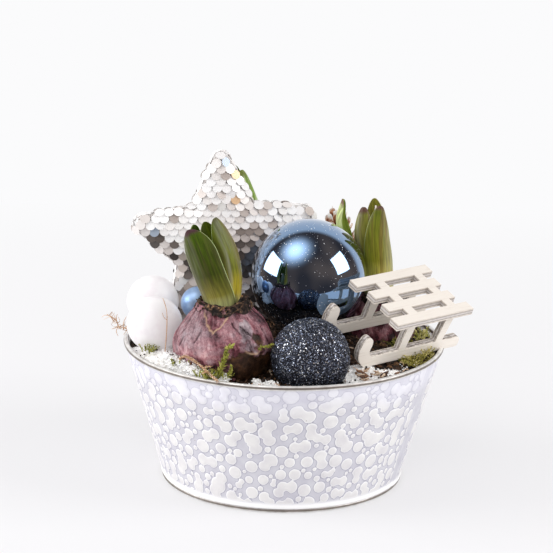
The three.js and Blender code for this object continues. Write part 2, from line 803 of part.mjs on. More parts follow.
function coneGeometry() {
  const random = seededRandom(5);
  const [x, y, z] = CONE.foot;
  const girth = (share) => Math.sin(Math.PI * mix(0.2, 0.97, share)) ** 0.75;
  const core = [[0, 0]];
  for (let step = 0; step <= 5; step += 1) {
    const share = step / 5;
    core.push([CONE.core * girth(share), CONE.height * 0.93 * share]);
  }
  core.push([0, CONE.height * 0.96]);
  const lathe = new THREE.LatheGeometry(core.map(([r, h]) => new THREE.Vector2(r, h)), 8).rotateX(Math.PI / 2);
  const solids = [toSolid(lathe)];
  for (let row = 0; row < CONE.rows; row += 1) {
    const share = (row + 0.4) / CONE.rows;
    for (let k = 0; k < CONE.perRow; k += 1) {
      const turn = ((k + (row % 2) / 2) / CONE.perRow) * FULL_TURN + 0.25 * random();
      const reach = CONE.radius * girth(share);
      const wide = CONE.scaleWidth * mix(0.75, 1, girth(share)) / 2;
      const rise = mix(2.5, 8, share);
      const thick = CONE.scaleThickness;
      const corners = [
        [0, 0, thick],
        [reach, -wide, rise],
        [reach, wide, rise],
        [reach - 0.8, wide * 0.8, rise + thick],
        [reach - 0.8, -wide * 0.8, rise + thick],
      ];
      const faces = [[0, 2, 1], [0, 3, 2], [0, 4, 3], [0, 1, 4], [1, 2, 3], [1, 3, 4]];
      const scale = fromFaces(corners, faces).rotateZ(turn).translate(0, 0, CONE.height * share * 0.88 + 1);
      solids.push(toSolid(scale));
    }
  }
  return toGeometry(mainBody(join(solids))).translate(x, y, z);
}

addMesh('pine_cone', coneGeometry(), finish.matte(COLOURS.cone));

// Sled: a slatted deck and two runners, each cut from one sheet of plywood.

const sledFrame = new THREE.Group();
{
  const yaw = degrees(SLED.yaw);
  const roll = degrees(SLED.roll);
  const length = new THREE.Vector3(Math.cos(yaw), Math.sin(yaw), 0);
  const level = new THREE.Vector3(Math.sin(yaw), -Math.cos(yaw), 0);
  const down = new THREE.Vector3(0, 0, -1);
  const width = level.clone().multiplyScalar(Math.cos(roll)).addScaledVector(down, Math.sin(roll));
  const below = level.clone().multiplyScalar(-Math.sin(roll)).addScaledVector(down, Math.cos(roll));
  sledFrame.applyMatrix4(new THREE.Matrix4().makeBasis(length, width, below).setPosition(...SLED.corner));
}
part.add(sledFrame);

// In the sled's own frame, x runs to the rear, y from the far slat to the near one, and z down from the deck.
const slatPitch = SLED.slatWidth + SLED.slatGap;
const deckWidth = SLED.slats * slatPitch - SLED.slatGap;

function barSolid([start, end], [near, far]) {
  const box = new THREE.BoxGeometry(end - start, far - near, SLED.ply);
  return toSolid(placed(box, [(start + end) / 2, (near + far) / 2, SLED.ply / 2]));
}

function deckGeometry() {
  const bars = SLED.crossbars.map((bar) => barSolid(bar, [0, deckWidth]));
  for (let slat = 0; slat < SLED.slats; slat += 1) {
    const isOuter = slat === 0 || slat === SLED.slats - 1;
    const ends = isOuter ? [SLED.outerFront, SLED.outerRear] : [SLED.innerFront, SLED.innerRear];
    bars.push(barSolid(ends, [slat * slatPitch, slat * slatPitch + SLED.slatWidth]));
  }
  return toGeometry(join(bars));
}

function runnerGeometry() {
  const top = SLED.height - SLED.rail;
  const head = SLED.ply + GAP;
  const edge = new THREE.Shape();
  const front = SLED.curlFront;
  edge.moveTo(front + 8.5, SLED.height);
  edge.lineTo(SLED.railRear - 2.5, SLED.height);
  edge.quadraticCurveTo(SLED.railRear, SLED.height, SLED.railRear, SLED.height - 3);
  edge.quadraticCurveTo(SLED.railRear, top, SLED.railRear - 4, top);
  for (const post of [...SLED.posts].reverse()) {
    edge.lineTo(post.foot[1], top);
    edge.lineTo(post.head[1], head);
    edge.lineTo(post.head[0], head);
    edge.lineTo(post.foot[0], top);
  }
  edge.lineTo(front + 12, top);
  edge.bezierCurveTo(front + 9, top - 1.5, front + 8, top - 5, front + 9.4, top - 8);
  edge.lineTo(front + 8.4, 12.4);
  edge.lineTo(front + 3.6, 9.4);
  edge.bezierCurveTo(front - 0.6, 14, front - 1.2, 24, front + 3.6, 29);
  edge.quadraticCurveTo(front + 6, 32, front + 8.5, SLED.height);
  const shape = new THREE.Shape(edge.getPoints(4));
  const flat = new THREE.ExtrudeGeometry(shape, { depth: SLED.ply, bevelEnabled: false });
  return bare(flat.rotateX(Math.PI / 2));
}

addMesh('sled_deck', deckGeometry(), finish.matte(COLOURS.wood), sledFrame);
const runnerPlaces = [['sled_runner_far', SLED.inset], ['sled_runner_near', deckWidth - SLED.inset - SLED.ply]];
for (const [name, edge] of runnerPlaces) {
  const runner = addMesh(name, runnerGeometry(), finish.matte(COLOURS.wood), sledFrame);
  runner.position.y = edge + SLED.ply;
}

// Potting mix, heaped a little in the middle and round the star's tips, with a pit for all that stands in it.

const heaps = [
  { centre: [-70.5, 29], reach: 11, height: 5 },
  { centre: [0, 40], reach: 12, height: 1.5 },
  { centre: [33, 62], reach: 16, height: 5 },
  { centre: [-76, -8], reach: 17, height: 5 },
];

function soilTop(x, y) {
  const ripple = Math.sin(x * 0.21 + 1.3) * Math.cos(y * 0.19) + 0.6 * Math.sin(x * 0.11 - y * 0.16);
  const middle = SOIL.mound * bell(x, y, SOIL.moundCentre, SOIL.moundReach);
  const rim = clamp((92 - Math.hypot(x, y)) / 12, 0, 1);
  let raised = middle;
  for (const { centre, reach, height } of heaps) raised += height * bell(x, y, centre, reach);
  return SOIL.edgeHeight + raised * rim + SOIL.ripple * ripple * rim;
}

function wholeSoil(lift = 0) {
  return toSolid(heapGeometry({
    centre: [0, 0],
    rings: SOIL.rings,
    spokes: SOIL.spokes,
    radius: () => wallInner(SOIL.edgeHeight) - GAP - 0.25,
    underRadius: () => wallInner(0) - GAP - 0.6,
    top: (x, y) => soilTop(x, y) + lift,
    under: POT.baseThickness + GAP,
  }));
}

const raisedSoil = wholeSoil(GAP);
const plantPits = HYACINTHS.map(bulbPit);
const ballPits = [LARGE_BALL, GLITTER_BALL].map(cappedBallPit);
const coneSeat = cylinderSolid(CONE.foot, CONE.core * 0.75 + 1, CONE.foot[2] - GAP, CONE.foot[2] + 12, 12);
const soil = mainBody(cut(wholeSoil(), [...plantPits, ...ballPits, ...wireHoles, starRoom, coneSeat]));
addMesh('potting_soil', toGeometry(soil), finish.matte(COLOURS.soil));

// Twigs: a dry sprig over the left rim, one over the front rim and a thin stalk by the pearl balls.

function twigSolid({ stem, branches, radii, grow = 0 }) {
  const thick = radii.map((radius) => radius + grow);
  const solids = [toSolid(rodGeometry({ points: stem, radii: thick, sides: 4, steps: 7 }))];
  for (const points of branches) {
    const thin = [radii[0] * 0.8 + grow, radii[1] * 0.8 + grow];
    solids.push(toSolid(rodGeometry({ points, radii: thin, sides: 3, steps: 2 })));
  }
  return mainBody(join(solids));
}

const TWIGS = [
  {
    name: 'sprig_left',
    radii: [1.0, 0.6],
    stem: [
      [-84, -15, 86.4],
      [-89, -9, 88.8],
      [-95, -3, 91.4],
      [-99.5, 0, 92.6],
      [-103.6, 0.5, 93.6],
      [-104.4, 0.8, 97],
      [-110.5, 1, 100.7],
    ],
    branches: [
      [[-103.4, 0.5, 93.5], [-104.6, -0.5, 90.5], [-103.4, -1, 87.4]],
      [[-103.2, 0.5, 93.5], [-105.4, 0, 92.4], [-107.6, 0, 91.7]],
      [[-100.5, 0.2, 93], [-100, 0.8, 96.5], [-98.4, 1, 99.7]],
      [[-104.5, 0.8, 96.6], [-104.8, 1.6, 98.6], [-104.2, 2.4, 100.8]],
    ],
  },
  {
    name: 'sprig_front',
    radii: [1.4, 1.0],
    stem: [
      [-66, -60, 86.4],
      [-63.8, -66.6, 91.8],
      [-59, -73, 97.4],
      [-51.4, -81, 96.2],
      [-45, -86.5, 92.4],
      [-38.4, -94.6, 89.2],
    ],
    branches: [
      [[-51.4, -81, 96.2], [-52.6, -83, 98], [-53.4, -84.6, 99.6]],
      [[-47.4, -84.6, 94], [-45, -85.6, 95.2], [-42.8, -86.6, 95.8]],
      [[-45, -86.5, 92.4], [-46.6, -88.6, 92.6], [-47.6, -90.6, 92.6]],
    ],
  },
  {
    name: 'stalk_left',
    radii: [0.8, 0.6],
    stem: [[-72.4, -44.4, 86], [-71.4, -45.6, 98], [-70.8, -46.6, 110], [-71.2, -47, 119], [-73.4, -47, 126]],
    branches: [[[-71, -46.6, 112], [-72.6, -47.6, 114], [-73.6, -48.4, 117]]],
  },
];

for (const twig of TWIGS) addMesh(twig.name, toGeometry(twigSolid(twig)), finish.matte(COLOURS.twig));
const twigRooms = TWIGS.map((twig) => twigSolid({ ...twig, grow: GAP + 0.1 }));

// Artificial snow: a heap that the pearl balls sit in at the left, and a patch at the right front.

function lumps(seed, count, [cx, cy], spread, height) {
  const random = seededRandom(seed);
  const peaks = [];
  for (let k = 0; k < count; k += 1) {
    const angle = random() * FULL_TURN;
    const reach = spread * Math.sqrt(random());
    const at = [cx + reach * Math.cos(angle), cy + reach * Math.sin(angle)];
    peaks.push({ at, rise: height * mix(0.4, 1, random()) });
  }
  return (x, y) => peaks.reduce((most, { at, rise }) => Math.max(most, rise * bell(x, y, at, spread / 5)), 0);
}

function snowSolid({ seed, centre, size, depth, rough, bank, rings, spokes }) {
  const random = seededRandom(seed);
  const phases = [random(), random(), random()].map((value) => value * FULL_TURN);
  const lump = lumps(seed + 1, 26, centre, Math.max(...size), rough);
  const radius = (angle) => {
    const oval = 1 / Math.hypot(Math.cos(angle) / size[0], Math.sin(angle) / size[1]);
    return oval * (1 + 0.09 * Math.sin(3 * angle + phases[0]) + 0.06 * Math.sin(7 * angle + phases[1]));
  };
  const cover = (x, y) => {
    const [dx, dy] = [x - centre[0], y - centre[1]];
    const share = Math.hypot(dx, dy) / radius(Math.atan2(dy, dx));
    return clamp(1.08 - share ** 3, 0.08, 1);
  };
  const fallen = (x, y) => depth + lump(x, y) + bank.rise * bell(x, y, bank.at, bank.reach);
  return toSolid(heapGeometry({
    centre,
    rings,
    spokes,
    radius,
    top: (x, y) => soilTop(x, y) + fallen(x, y) * cover(x, y),
    under: SOIL.edgeHeight - 3,
  }));
}

const ROOM = { low: SOIL.edgeHeight - 8, high: POT.height + 4 };

const SNOW = [
  {
    name: 'snow_left',
    seed: 3,
    centre: [-70, -27],
    size: [26, 44],
    depth: 3.2,
    rough: 2.2,
    bank: { at: [-74, -45], rise: 4, reach: 10 },
    rings: 6,
    spokes: 22,
  },
  {
    name: 'snow_right',
    seed: 8,
    centre: [52, -62],
    size: [24, 17],
    depth: 1.6,
    rough: 2.2,
    bank: { at: [56, -48], rise: 1, reach: 8 },
    rings: 4,
    spokes: 18,
  },
];

const potRoom = toSolid(new THREE.CylinderGeometry(
  wallInner(POT.height) - 2.4, wallInner(ROOM.low) - 1.2, ROOM.high - ROOM.low, 40,
).rotateX(Math.PI / 2).translate(0, 0, (ROOM.low + ROOM.high) / 2));
const roomInPot = potRoom.add(cylinderSolid([0, 0], 106, POT.height + GAP, POT.height + 50, 32));
const pearlRooms = SMALL_BALLS.map((ball) => sphereAt(ball, GAP + 0.1));

function sledRoom() {
  sledFrame.updateMatrixWorld(true);
  const solids = sledFrame.children.map((mesh) => {
    mesh.updateMatrixWorld(true);
    return toSolid(mesh.geometry.clone().applyMatrix4(mesh.matrixWorld));
  });
  const shifts = [[0, 0, 0], [0, 0, -GAP], [0, 0, GAP]];
  for (const x of [-GAP, GAP]) for (const y of [-GAP, GAP]) shifts.push([x, y, 0]);
  return solids.flatMap((solid) => shifts.map((shift) => solid.translate(shift)));
}

const sledRooms = sledRoom();

const occupied = [raisedSoil, ...plantPits, ...ballPits, ...wireHoles, ...pearlRooms, ...twigRooms, starRoom];
const snowRooms = SNOW.map((patch) => {
  const settled = mainBody(cut(snowSolid(patch).intersect(roomInPot), [...occupied, ...sledRooms]));
  addMesh(patch.name, toGeometry(settled), finish.matte(COLOURS.snow));
  return settled.add(settled.translate([0, 0, GAP]));
});

// Moss: low cushions and tufts of pointed shoots, and one tall shoot at the front.

function mossSolid({ seed, centre, size, height, lift }) {
  const random = seededRandom(seed);
  const oval = (angle) => 1 / Math.hypot(Math.cos(angle) / size[0], Math.sin(angle) / size[1]);
  const cushion = heapGeometry({
    centre,
    rings: 3,
    spokes: 12,
    radius: oval,
    top: (x, y) => {
      const [dx, dy] = [x - centre[0], y - centre[1]];
      const share = Math.hypot(dx, dy) / oval(Math.atan2(dy, dx));
      return soilTop(x, y) + lift + height * (1 - share * share);
    },
    under: SOIL.edgeHeight - 3,
  });
  const solids = [toSolid(cushion)];
  for (let k = 0; k < SHOOTS.count; k += 1) {
    const angle = k * 2.4;
    const share = Math.sqrt((k + 0.5) / SHOOTS.count) * 0.9;
    const [dx, dy] = [oval(angle) * share * Math.cos(angle), oval(angle) * share * Math.sin(angle)];
    const [x, y] = [centre[0] + dx, centre[1] + dy];
    const length = SHOOTS.length * mix(0.7, 1.15, random());
    const shoot = new THREE.ConeGeometry(SHOOTS.radius, length, 3).translate(0, length / 2 - 1.6, 0);
    shoot.rotateX(Math.PI / 2);
    shoot.rotateX(-dy * 0.06 + mix(-0.3, 0.3, random())).rotateY(dx * 0.06 + mix(-0.3, 0.3, random()));
    solids.push(toSolid(placed(shoot, [x, y, soilTop(x, y) + lift + height * (1 - share * share)])));
  }
  return join(solids);
}

const MOSS = [
  { name: 'moss_right', seed: 41, centre: [80.5, -33.5], size: [8, 6.5], height: 2.2, lift: 0.6 },
  { name: 'moss_under_sled', seed: 42, centre: [77, -7], size: [9, 8], height: 3, lift: 0.6 },
  { name: 'moss_front', seed: 43, centre: [-42, -84], size: [10.5, 4.6], height: 1.8, lift: 0.8 },
  { name: 'moss_left', seed: 44, centre: [-81, -45], size: [4.6, 3.6], height: 2.4, lift: 7.6 },
];
const SHOOTS = { count: 11, length: 6, radius: 1.1 };

// The tall pale shoot that stands at the front of the bulb, with short leaves all the way up.
function tallShoot() {
  const random = seededRandom(9);
  const stem = [
    [-39.4, -84.6, 84],
    [-38.2, -84.8, 90],
    [-36.2, -85, 96],
    [-34, -85.2, 102],
    [-33.4, -85.6, 107],
    [-30.8, -86, 108.2],
  ];
  const solids = [toSolid(rodGeometry({ points: stem, radii: [1.3, 0.9], sides: 4, steps: 7 }))];
  const curve = new THREE.CatmullRomCurve3(stem.map((p) => new THREE.Vector3(...p)));
  for (let k = 0; k < 10; k += 1) {
    const at = curve.getPointAt(mix(0.15, 0.97, k / 9));
    const angle = k * 2.4;
    const length = mix(3.2, 5.5, random());
    const leaf = new THREE.ConeGeometry(0.9, length, 3).translate(0, length / 2 - 0.4, 0);
    leaf.rotateX(Math.PI / 2).rotateY(degrees(52)).rotateZ(angle);
    solids.push(toSolid(placed(leaf, at.toArray())));
  }
  return join(solids);
}

for (const clump of MOSS) {
  const grown = clump.name === 'moss_front' ? mossSolid(clump).add(tallShoot()) : mossSolid(clump);
  const others = clump.name === 'moss_left' || clump.name === 'moss_front' ? [] : sledRooms;
  const settled = mainBody(cut(grown.intersect(roomInPot), [...occupied, ...snowRooms, ...others]));
  addMesh(clump.name, toGeometry(settled), finish.matte(COLOURS.moss));
}

// Bark chips: short flat flakes that lie across each other on the snow at the right front.

function barkGeometry() {
  const random = seededRandom(17);
  const solids = [];
  for (let k = 0; k < 8; k += 1) {
    const [long, wide] = [mix(6, 10, random()), mix(2.2, 3.6, random())];
    const flake = new THREE.BoxGeometry(long, wide, 1.1).rotateX(mix(-0.4, 0.4, random()));
    flake.rotateY(mix(-0.35, 0.35, random())).rotateZ(random() * Math.PI);
    const [x, y] = [mix(47, 66, k / 7), -69 + 4 * Math.sin(k * 1.9)];
    solids.push(toSolid(placed(flake, [x, y, soilTop(x, y) + 4.2])));
  }
  const rooms = [...occupied, ...snowRooms, ...sledRooms];
  return toGeometry(mainBody(cut(join(solids).intersect(roomInPot), rooms)));
}

addMesh('bark_chips', barkGeometry(), finish.matte(COLOURS.bark));

export default part;
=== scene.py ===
"""Dresses a winter planter: three forced hyacinths in an embossed tin bowl, with a sequinned star, balls and a sled.

Lengths are millimetres until a mesh is made, which is in metres. The origin is the middle of the pot's underside,
+Z is up and the front of the arrangement faces -Y.
"""

import itertools
import logging
import math
from collections.abc import Iterator
from dataclasses import dataclass, field
from enum import Enum

import bpy
import numpy as np
from mathutils import Matrix, Vector


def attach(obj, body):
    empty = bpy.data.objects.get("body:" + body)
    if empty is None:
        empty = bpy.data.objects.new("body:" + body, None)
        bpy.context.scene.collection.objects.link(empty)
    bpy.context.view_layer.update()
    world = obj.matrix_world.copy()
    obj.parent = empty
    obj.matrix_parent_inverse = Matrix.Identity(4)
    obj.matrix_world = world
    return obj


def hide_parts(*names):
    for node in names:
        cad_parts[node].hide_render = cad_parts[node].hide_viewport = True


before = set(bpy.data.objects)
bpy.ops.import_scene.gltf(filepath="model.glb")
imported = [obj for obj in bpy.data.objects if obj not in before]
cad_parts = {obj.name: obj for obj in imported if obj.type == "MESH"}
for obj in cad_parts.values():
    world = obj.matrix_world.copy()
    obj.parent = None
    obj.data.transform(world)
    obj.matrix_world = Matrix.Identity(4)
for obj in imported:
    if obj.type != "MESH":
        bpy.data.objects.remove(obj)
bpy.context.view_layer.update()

MM = 0.001
FULL_TURN = 2 * math.pi
log = logging.getLogger("planter")

Array = np.ndarray
Number = float | np.ndarray
Piece = bpy.types.Object
Socket = bpy.types.NodeSocket
Tree = bpy.types.NodeTree
Random = np.random.Generator


# Small tools.

# What nodes of a kind nearly always have: a setting, and the output that is wanted.
USUAL_SETTING = {"Mix": {"data_type": "RGBA"}, "Math": {"operation": "MULTIPLY_ADD"}}
USUAL_OUTPUT = {
    "Attribute": "Fac", "TexCoord": "Object", "TexWave": "Fac", "SeparateXYZ": "Z", "NewGeometry": "Normal",
}


def linear(code: str) -> tuple[float, float, float, float]:
    """Turn an sRGB hex code into linear light.

    Args:
        code: Six hex digits after a hash sign.

    Returns:
        Red, green, blue and an alpha of one.
    """
    parts = [int(code[start : start + 2], 16) / 255 for start in (1, 3, 5)]
    light = [part / 12.92 if part <= 0.04045 else ((part + 0.055) / 1.055) ** 2.4 for part in parts]
    return (*light, 1.0)


def per_mm(size: float) -> float:
    """Give a texture's scale, for coordinates in metres, at which one of its features is size millimetres long."""
    return 1 / (size * MM)


def feed(tree: Tree, socket: Socket, value: Socket | Number | tuple | str) -> None:
    """Link an input to another node's output, or set it to a number, a vector or a hex colour.

    Args:
        tree: The tree that both are in.
        socket: The input.
        value: What it gets.
    """
    if isinstance(value, Socket):
        tree.links.new(value, socket)
    else:
        socket.default_value = linear(value) if isinstance(value, str) else value


def add(tree: Tree, kind: str, *values, stops: tuple = (), out: str = "", **settings) -> Socket:
    """Add one node to a tree, set it up and link it.

    Args:
        tree: The tree that gets the node.
        kind: Blender's name for the node's type, without the words in front of it that all shader nodes share.
        values: What its inputs get, in their order.
        stops: For a colour ramp, the place and sRGB hex colour of each stop.
        out: The output that is wanted, where it isn't the usual one of that kind or the first in use.
        settings: The node's own settings, and after a capital letter the inputs that are out of order.

    Returns:
        The output that is wanted.
    """
    node = tree.nodes.new(f"ShaderNode{kind}")
    settings = USUAL_SETTING.get(kind, {}) | settings
    inputs = {name: value for name, value in settings.items() if name[0].isupper()}
    for name in settings.keys() - inputs.keys():
        setattr(node, name, settings[name])
    for socket, value in zip([socket for socket in node.inputs if socket.enabled], values):
        feed(tree, socket, value)
    for name, value in inputs.items():
        feed(tree, node.inputs[name], value)
    for _ in stops[2:]:
        node.color_ramp.elements.new(0.5)
    for mark, (place, colour) in zip(node.color_ramp.elements if stops else (), stops):
        mark.position, mark.color = place, linear(colour)
    usable = [socket for socket in node.outputs if socket.name == (out or USUAL_OUTPUT.get(kind, socket.name))]
    return next((socket for socket in usable if socket.enabled), None)


def mix(a: Number, b: Number, share: Number) -> Number:
    """Blend a into b by share."""
    return a + (b - a) * share


def smooth(low: float, high: float, value: Number) -> Number:
    """Rise smoothly from nought at low to one at high."""
    share = np.clip((value - low) / (high - low), 0, 1)
    return share * share * (3 - 2 * share)


def peak(away: Number, reach: float = 1.0) -> Number:
    """Give a bump's height, one in its middle, by how far away that is, measured in reaches."""
    return np.exp(-((away / reach) ** 2))


def bell(x: Number, y: Number, centre: tuple, reach: float) -> Number:
    """Give a round bump's height, one at its centre, at a distance that reach measures."""
    return np.exp(-((x - centre[0]) ** 2 + (y - centre[1]) ** 2) / (2 * reach * reach))


def join(*axes: Number) -> Array:
    """Join coordinates of one shape, or single numbers, into points along a last axis."""
    return np.stack(np.broadcast_arrays(*axes), axis=-1).astype(float)


def polar(angle: Number, reach: Number = 1.0, height: Number = 0.0, centre: tuple = (0.0, 0.0)) -> Array:
    """Give the points that stand at angles and distances round an upright axis."""
    return join(centre[0] + reach * np.cos(angle), centre[1] + reach * np.sin(angle), height)


def unit(vectors: Array) -> Array:
    """Scale vectors to a length of one."""
    return vectors / np.maximum(np.linalg.norm(vectors, axis=-1, keepdims=True), 1e-9)


def steps_round(count: int) -> Array:
    """Give that many evenly spaced angles of a full turn, the first of them nought."""
    return np.arange(count) / count * FULL_TURN


def noise(points: Array, size: float, seed: int) -> Array:
    """Give smooth lattice noise between minus one and one.

    Args:
        points: Places along the last axis, in millimetres.
        size: The lattice's spacing in millimetres.
        seed: A whole number that picks the pattern.

    Returns:
        One value for each place.
    """
    grid = np.asarray(points, float).reshape(-1, 3) / size
    cell = np.floor(grid).astype(np.int64)
    local = grid - cell
    local = local * local * (3 - 2 * local)
    total = np.zeros(len(grid))
    for corner in itertools.product((0, 1), repeat=3):
        at = cell + np.array(corner)
        mixed = (at[:, 0] * 73856093) ^ (at[:, 1] * 19349663) ^ (at[:, 2] * 83492791) ^ (seed * 2654435761)
        mixed = ((mixed ^ (mixed >> 13)) * 1274126177) & 0xFFFFFFFF
        value = ((mixed ^ (mixed >> 15)) & 0xFFFF) / 32767.5 - 1
        total += np.prod(np.where(corner, local, 1 - local), axis=1) * value
    return total.reshape(np.shape(points)[:-1])


def draws(seed: int) -> Iterator[float]:
    """Yield the same evenly spread numbers between nought and one as the solids were shaped with.

    Args:
        seed: A whole number that picks the sequence.

    Yields:
        The next number of the sequence.
    """
    mask = 0xFFFFFFFF
    state = seed
    while True:
        state = (state + 0x6D2B79F5) & mask
        mixed = ((state ^ (state >> 15)) * (1 | state)) & mask
        mixed = (((mixed + (((mixed ^ (mixed >> 7)) * (61 | mixed)) & mask)) & mask) ^ mixed) & mask
        yield (mixed ^ (mixed >> 14)) / 4294967296


class Path:
    """A smooth curve through points, walked by its length."""

    def __init__(self, points: list, steps: int = 40) -> None:
        """Fit the curve.

        Args:
            points: The places in millimetres that it runs through.
            steps: How finely each stretch is measured.
        """
        given = np.array(points, float)
        ends = [2 * given[0] - given[1], *given, 2 * given[-1] - given[-2]]
        share = np.linspace(0, 1, steps, endpoint=False)[:, None]
        found = []
        for p0, p1, p2, p3 in zip(ends, ends[1:], ends[2:], ends[3:]):
            d0, d1, d2 = (max(np.linalg.norm(b - a) ** 0.5, 1e-3) for a, b in ((p0, p1), (p1, p2), (p2, p3)))
            t1 = ((p1 - p0) / d0 - (p2 - p0) / (d0 + d1) + (p2 - p1) / d1) * d1
            t2 = ((p2 - p1) / d1 - (p3 - p1) / (d1 + d2) + (p3 - p2) / d2) * d1
            curve = p1 + t1 * share + (3 * (p2 - p1) - 2 * t1 - t2) * share**2
            found.append(curve + (2 * (p1 - p2) + t1 + t2) * share**3)
        self.points = np.vstack([*found, given[-1:]])
        runs = np.linalg.norm(np.diff(self.points, axis=0), axis=1)
        self.measure = np.concatenate([[0], np.cumsum(runs)])
        self.length = float(self.measure[-1])

    def at(self, shares: Array) -> Array:
        """Give the places at these shares of the length, one row each."""
        where = np.asarray(shares) * self.length
        return np.stack([np.interp(where, self.measure, axis) for axis in self.points.T], axis=1)

    def along(self, shares: Array) -> Array:
        """Give the curve's direction at these shares of the length, one row each.

        Args:
            shares: The shares.

        Returns:
            The directions.
        """
        step = 0.004
        shares = np.asarray(shares)
        return unit(self.at(np.minimum(shares + step, 1)) - self.at(np.maximum(shares - step, 0)))

    def leaflets(self, shares: Array, turns: Array) -> tuple[Array, Array, Array]:
        """Give the places, directions and outward ways of leaflets that stand round the curve.

        Args:
            shares: Where each one stands, as a share of the length.
            turns: How far round it is, in radians.

        Returns:
            The three as points, one row each.
        """
        centre, along = self.at(shares), self.along(shares)
        side = unit(np.cross(along, [0.3, 0.5, 0.8]))
        return centre, along, side * np.cos(turns)[:, None] + np.cross(along, side) * np.sin(turns)[:, None]


@dataclass
class Cluster:
    """Many small shapes that become one mesh, with a number or vector for each corner under each mark."""

    points: list[Array] = field(default_factory=list)
    faces: list[list[int]] = field(default_factory=list)
    marks: dict[str, list[Array]] = field(default_factory=dict)
    count: int = 0

    def add(self, points: Array, faces: list | Array, **marks: float | Array) -> "Cluster":
        """Add one shape.

        Args:
            points: Its corners in millimetres.
            faces: The corners of each of its faces, counted from its own first corner.
            marks: What to keep with its corners, one for all or one each.

        Returns:
            The cluster itself.
        """
        points = np.asarray(points, float).reshape(-1, 3)
        self.points.append(points)
        if isinstance(faces, np.ndarray):
            self.faces.extend((faces + self.count).tolist())
        else:
            self.faces.extend([[corner + self.count for corner in face] for face in faces])
        for name, value in marks.items():
            value = np.full(len(points), value) if np.ndim(value) == 0 else np.asarray(value, float)
            value = value.ravel() if value.size == len(points) else value.reshape(-1, 3)
            self.marks.setdefault(name, []).append(value)
        self.count += len(points)
        return self

    def copies(self, shape: Array, faces: Array, turns: Array, places: Array, **marks: Array) -> "Cluster":
        """Add many copies of one shape.

        Args:
            shape: The shape's corners about its own origin.
            faces: Its faces, all with as many corners.
            turns: A 3 by 3 matrix for each copy, whose columns are its axes.
            places: Where each copy goes.
            marks: One number for each copy.

        Returns:
            The cluster itself.
        """
        corners = np.einsum("nij,kj->nki", turns, shape) + places[:, None, :]
        shifts = np.arange(len(places)) * len(shape)
        spread = {name: np.repeat(value, len(shape)) for name, value in marks.items()}
        return self.add(corners, (faces[None] + shifts[:, None, None]).reshape(-1, faces.shape[1]), **spread)

    def mesh(self, name: str, finish: "Finish", is_smooth: bool = True) -> Piece:
        """Make the mesh object.

        Args:
            name: The object's name.
            finish: Its finish.
            is_smooth: Whether its faces are shaded smoothly.

        Returns:
            The new object, in the scene.
        """
        data = bpy.data.meshes.new(name)
        data.from_pydata((np.vstack(self.points) * MM).tolist(), [], self.faces)
        for mark, parts in self.marks.items():
            values = np.concatenate(parts).astype(np.float32)
            kind, key = ("FLOAT", "value") if values.ndim == 1 else ("FLOAT_VECTOR", "vector")
            data.attributes.new(mark, kind, "POINT").data.foreach_set(key, values.ravel())
        data.materials.append(finish.material())
        data.polygons.foreach_set("use_smooth", [is_smooth] * len(data.polygons))
        data.update()
        made = bpy.data.objects.new(name, data)
        bpy.context.scene.collection.objects.link(made)
        return made


def grid_faces(rows: int, columns: int, is_round: bool = False, is_ring: bool = False) -> Array:
    """List the four-cornered faces of a grid of points.

    Args:
        rows: How many rows of points it has.
        columns: How many points a row has.
        is_round: Whether each row closes on itself.
        is_ring: Whether the last row joins the first.

    Returns:
        The corners of each face.
    """
    row, column = np.meshgrid(np.arange(rows - (not is_ring)), np.arange(columns - (not is_round)), indexing="ij")
    near = row * columns + column
    far = row * columns + (column + 1) % columns
    return np.stack([near, far, far + columns, near + columns], axis=-1).reshape(-1, 4) % (rows * columns)


def closed(rows: int, columns: int) -> list:
    """List the faces of a turned form, whose first and last rows are closed by flat caps.

    Args:
        rows: How many rows it has.
        columns: How many points a row has.

    Returns:
        The corners of each face.
    """
    last = (rows - 1) * columns
    caps = [list(range(columns))[::-1], list(range(last, last + columns))]
    return grid_faces(rows, columns, True).tolist() + caps


def plate(front: Array, back: Array) -> tuple[Array, Array]:
    """Close two grids of points, row by row, into one thin plate.

    Args:
        front: Rows by columns by three.
        back: The same for the other face.

    Returns:
        The plate's corners and faces.
    """
    rows, columns = front.shape[:2]
    count = rows * columns
    index = np.arange(count).reshape(rows, columns)
    border = np.concatenate([index[0, :-1], index[:-1, -1], index[-1, :0:-1], index[:0:-1, 0]])
    after = np.roll(border, -1)
    top = grid_faces(rows, columns)
    rim = np.stack([after, border, border + count, after + count], axis=1)
    return np.vstack([front.reshape(-1, 3), back.reshape(-1, 3)]), np.vstack([top, top[:, ::-1] + count, rim])


def prism(low: Array, high: Array) -> tuple[Array, list]:
    """Close two like outlines, one above the other, into one solid with flat ends.

    Args:
        low: The first outline's corners, one row each.
        high: The other's.

    Returns:
        The solid's corners and faces.
    """
    count = len(low)
    ring = np.arange(count)
    after = np.roll(ring, -1)
    walls = np.stack([ring, after, after + count, ring + count], axis=1)
    return np.vstack([low, high]), walls.tolist() + [list(ring[::-1]), list(ring + count)]


def tube(path: Path, radii: Array, sides: int = 8) -> tuple[Array, list]:
    """Make a closed round rod along a path.

    Args:
        path: The line that it follows.
        radii: Its radius in millimetres at evenly spaced places.
        sides: How many sides it has.

    Returns:
        Its corners and faces.
    """
    shares = np.linspace(0, 1, len(radii))
    along = path.along(shares)
    side = unit(np.cross(along, [0.31, 0.52, 0.79]))
    across = np.cross(along, side)
    angle = np.linspace(0, FULL_TURN, sides, endpoint=False)
    reach = np.cos(angle)[None, :, None] * side[:, None] + np.sin(angle)[None, :, None] * across[:, None]
    points = path.at(shares)[:, None] + reach * np.asarray(radii)[:, None, None]
    return points.reshape(-1, 3), closed(len(radii), sides)


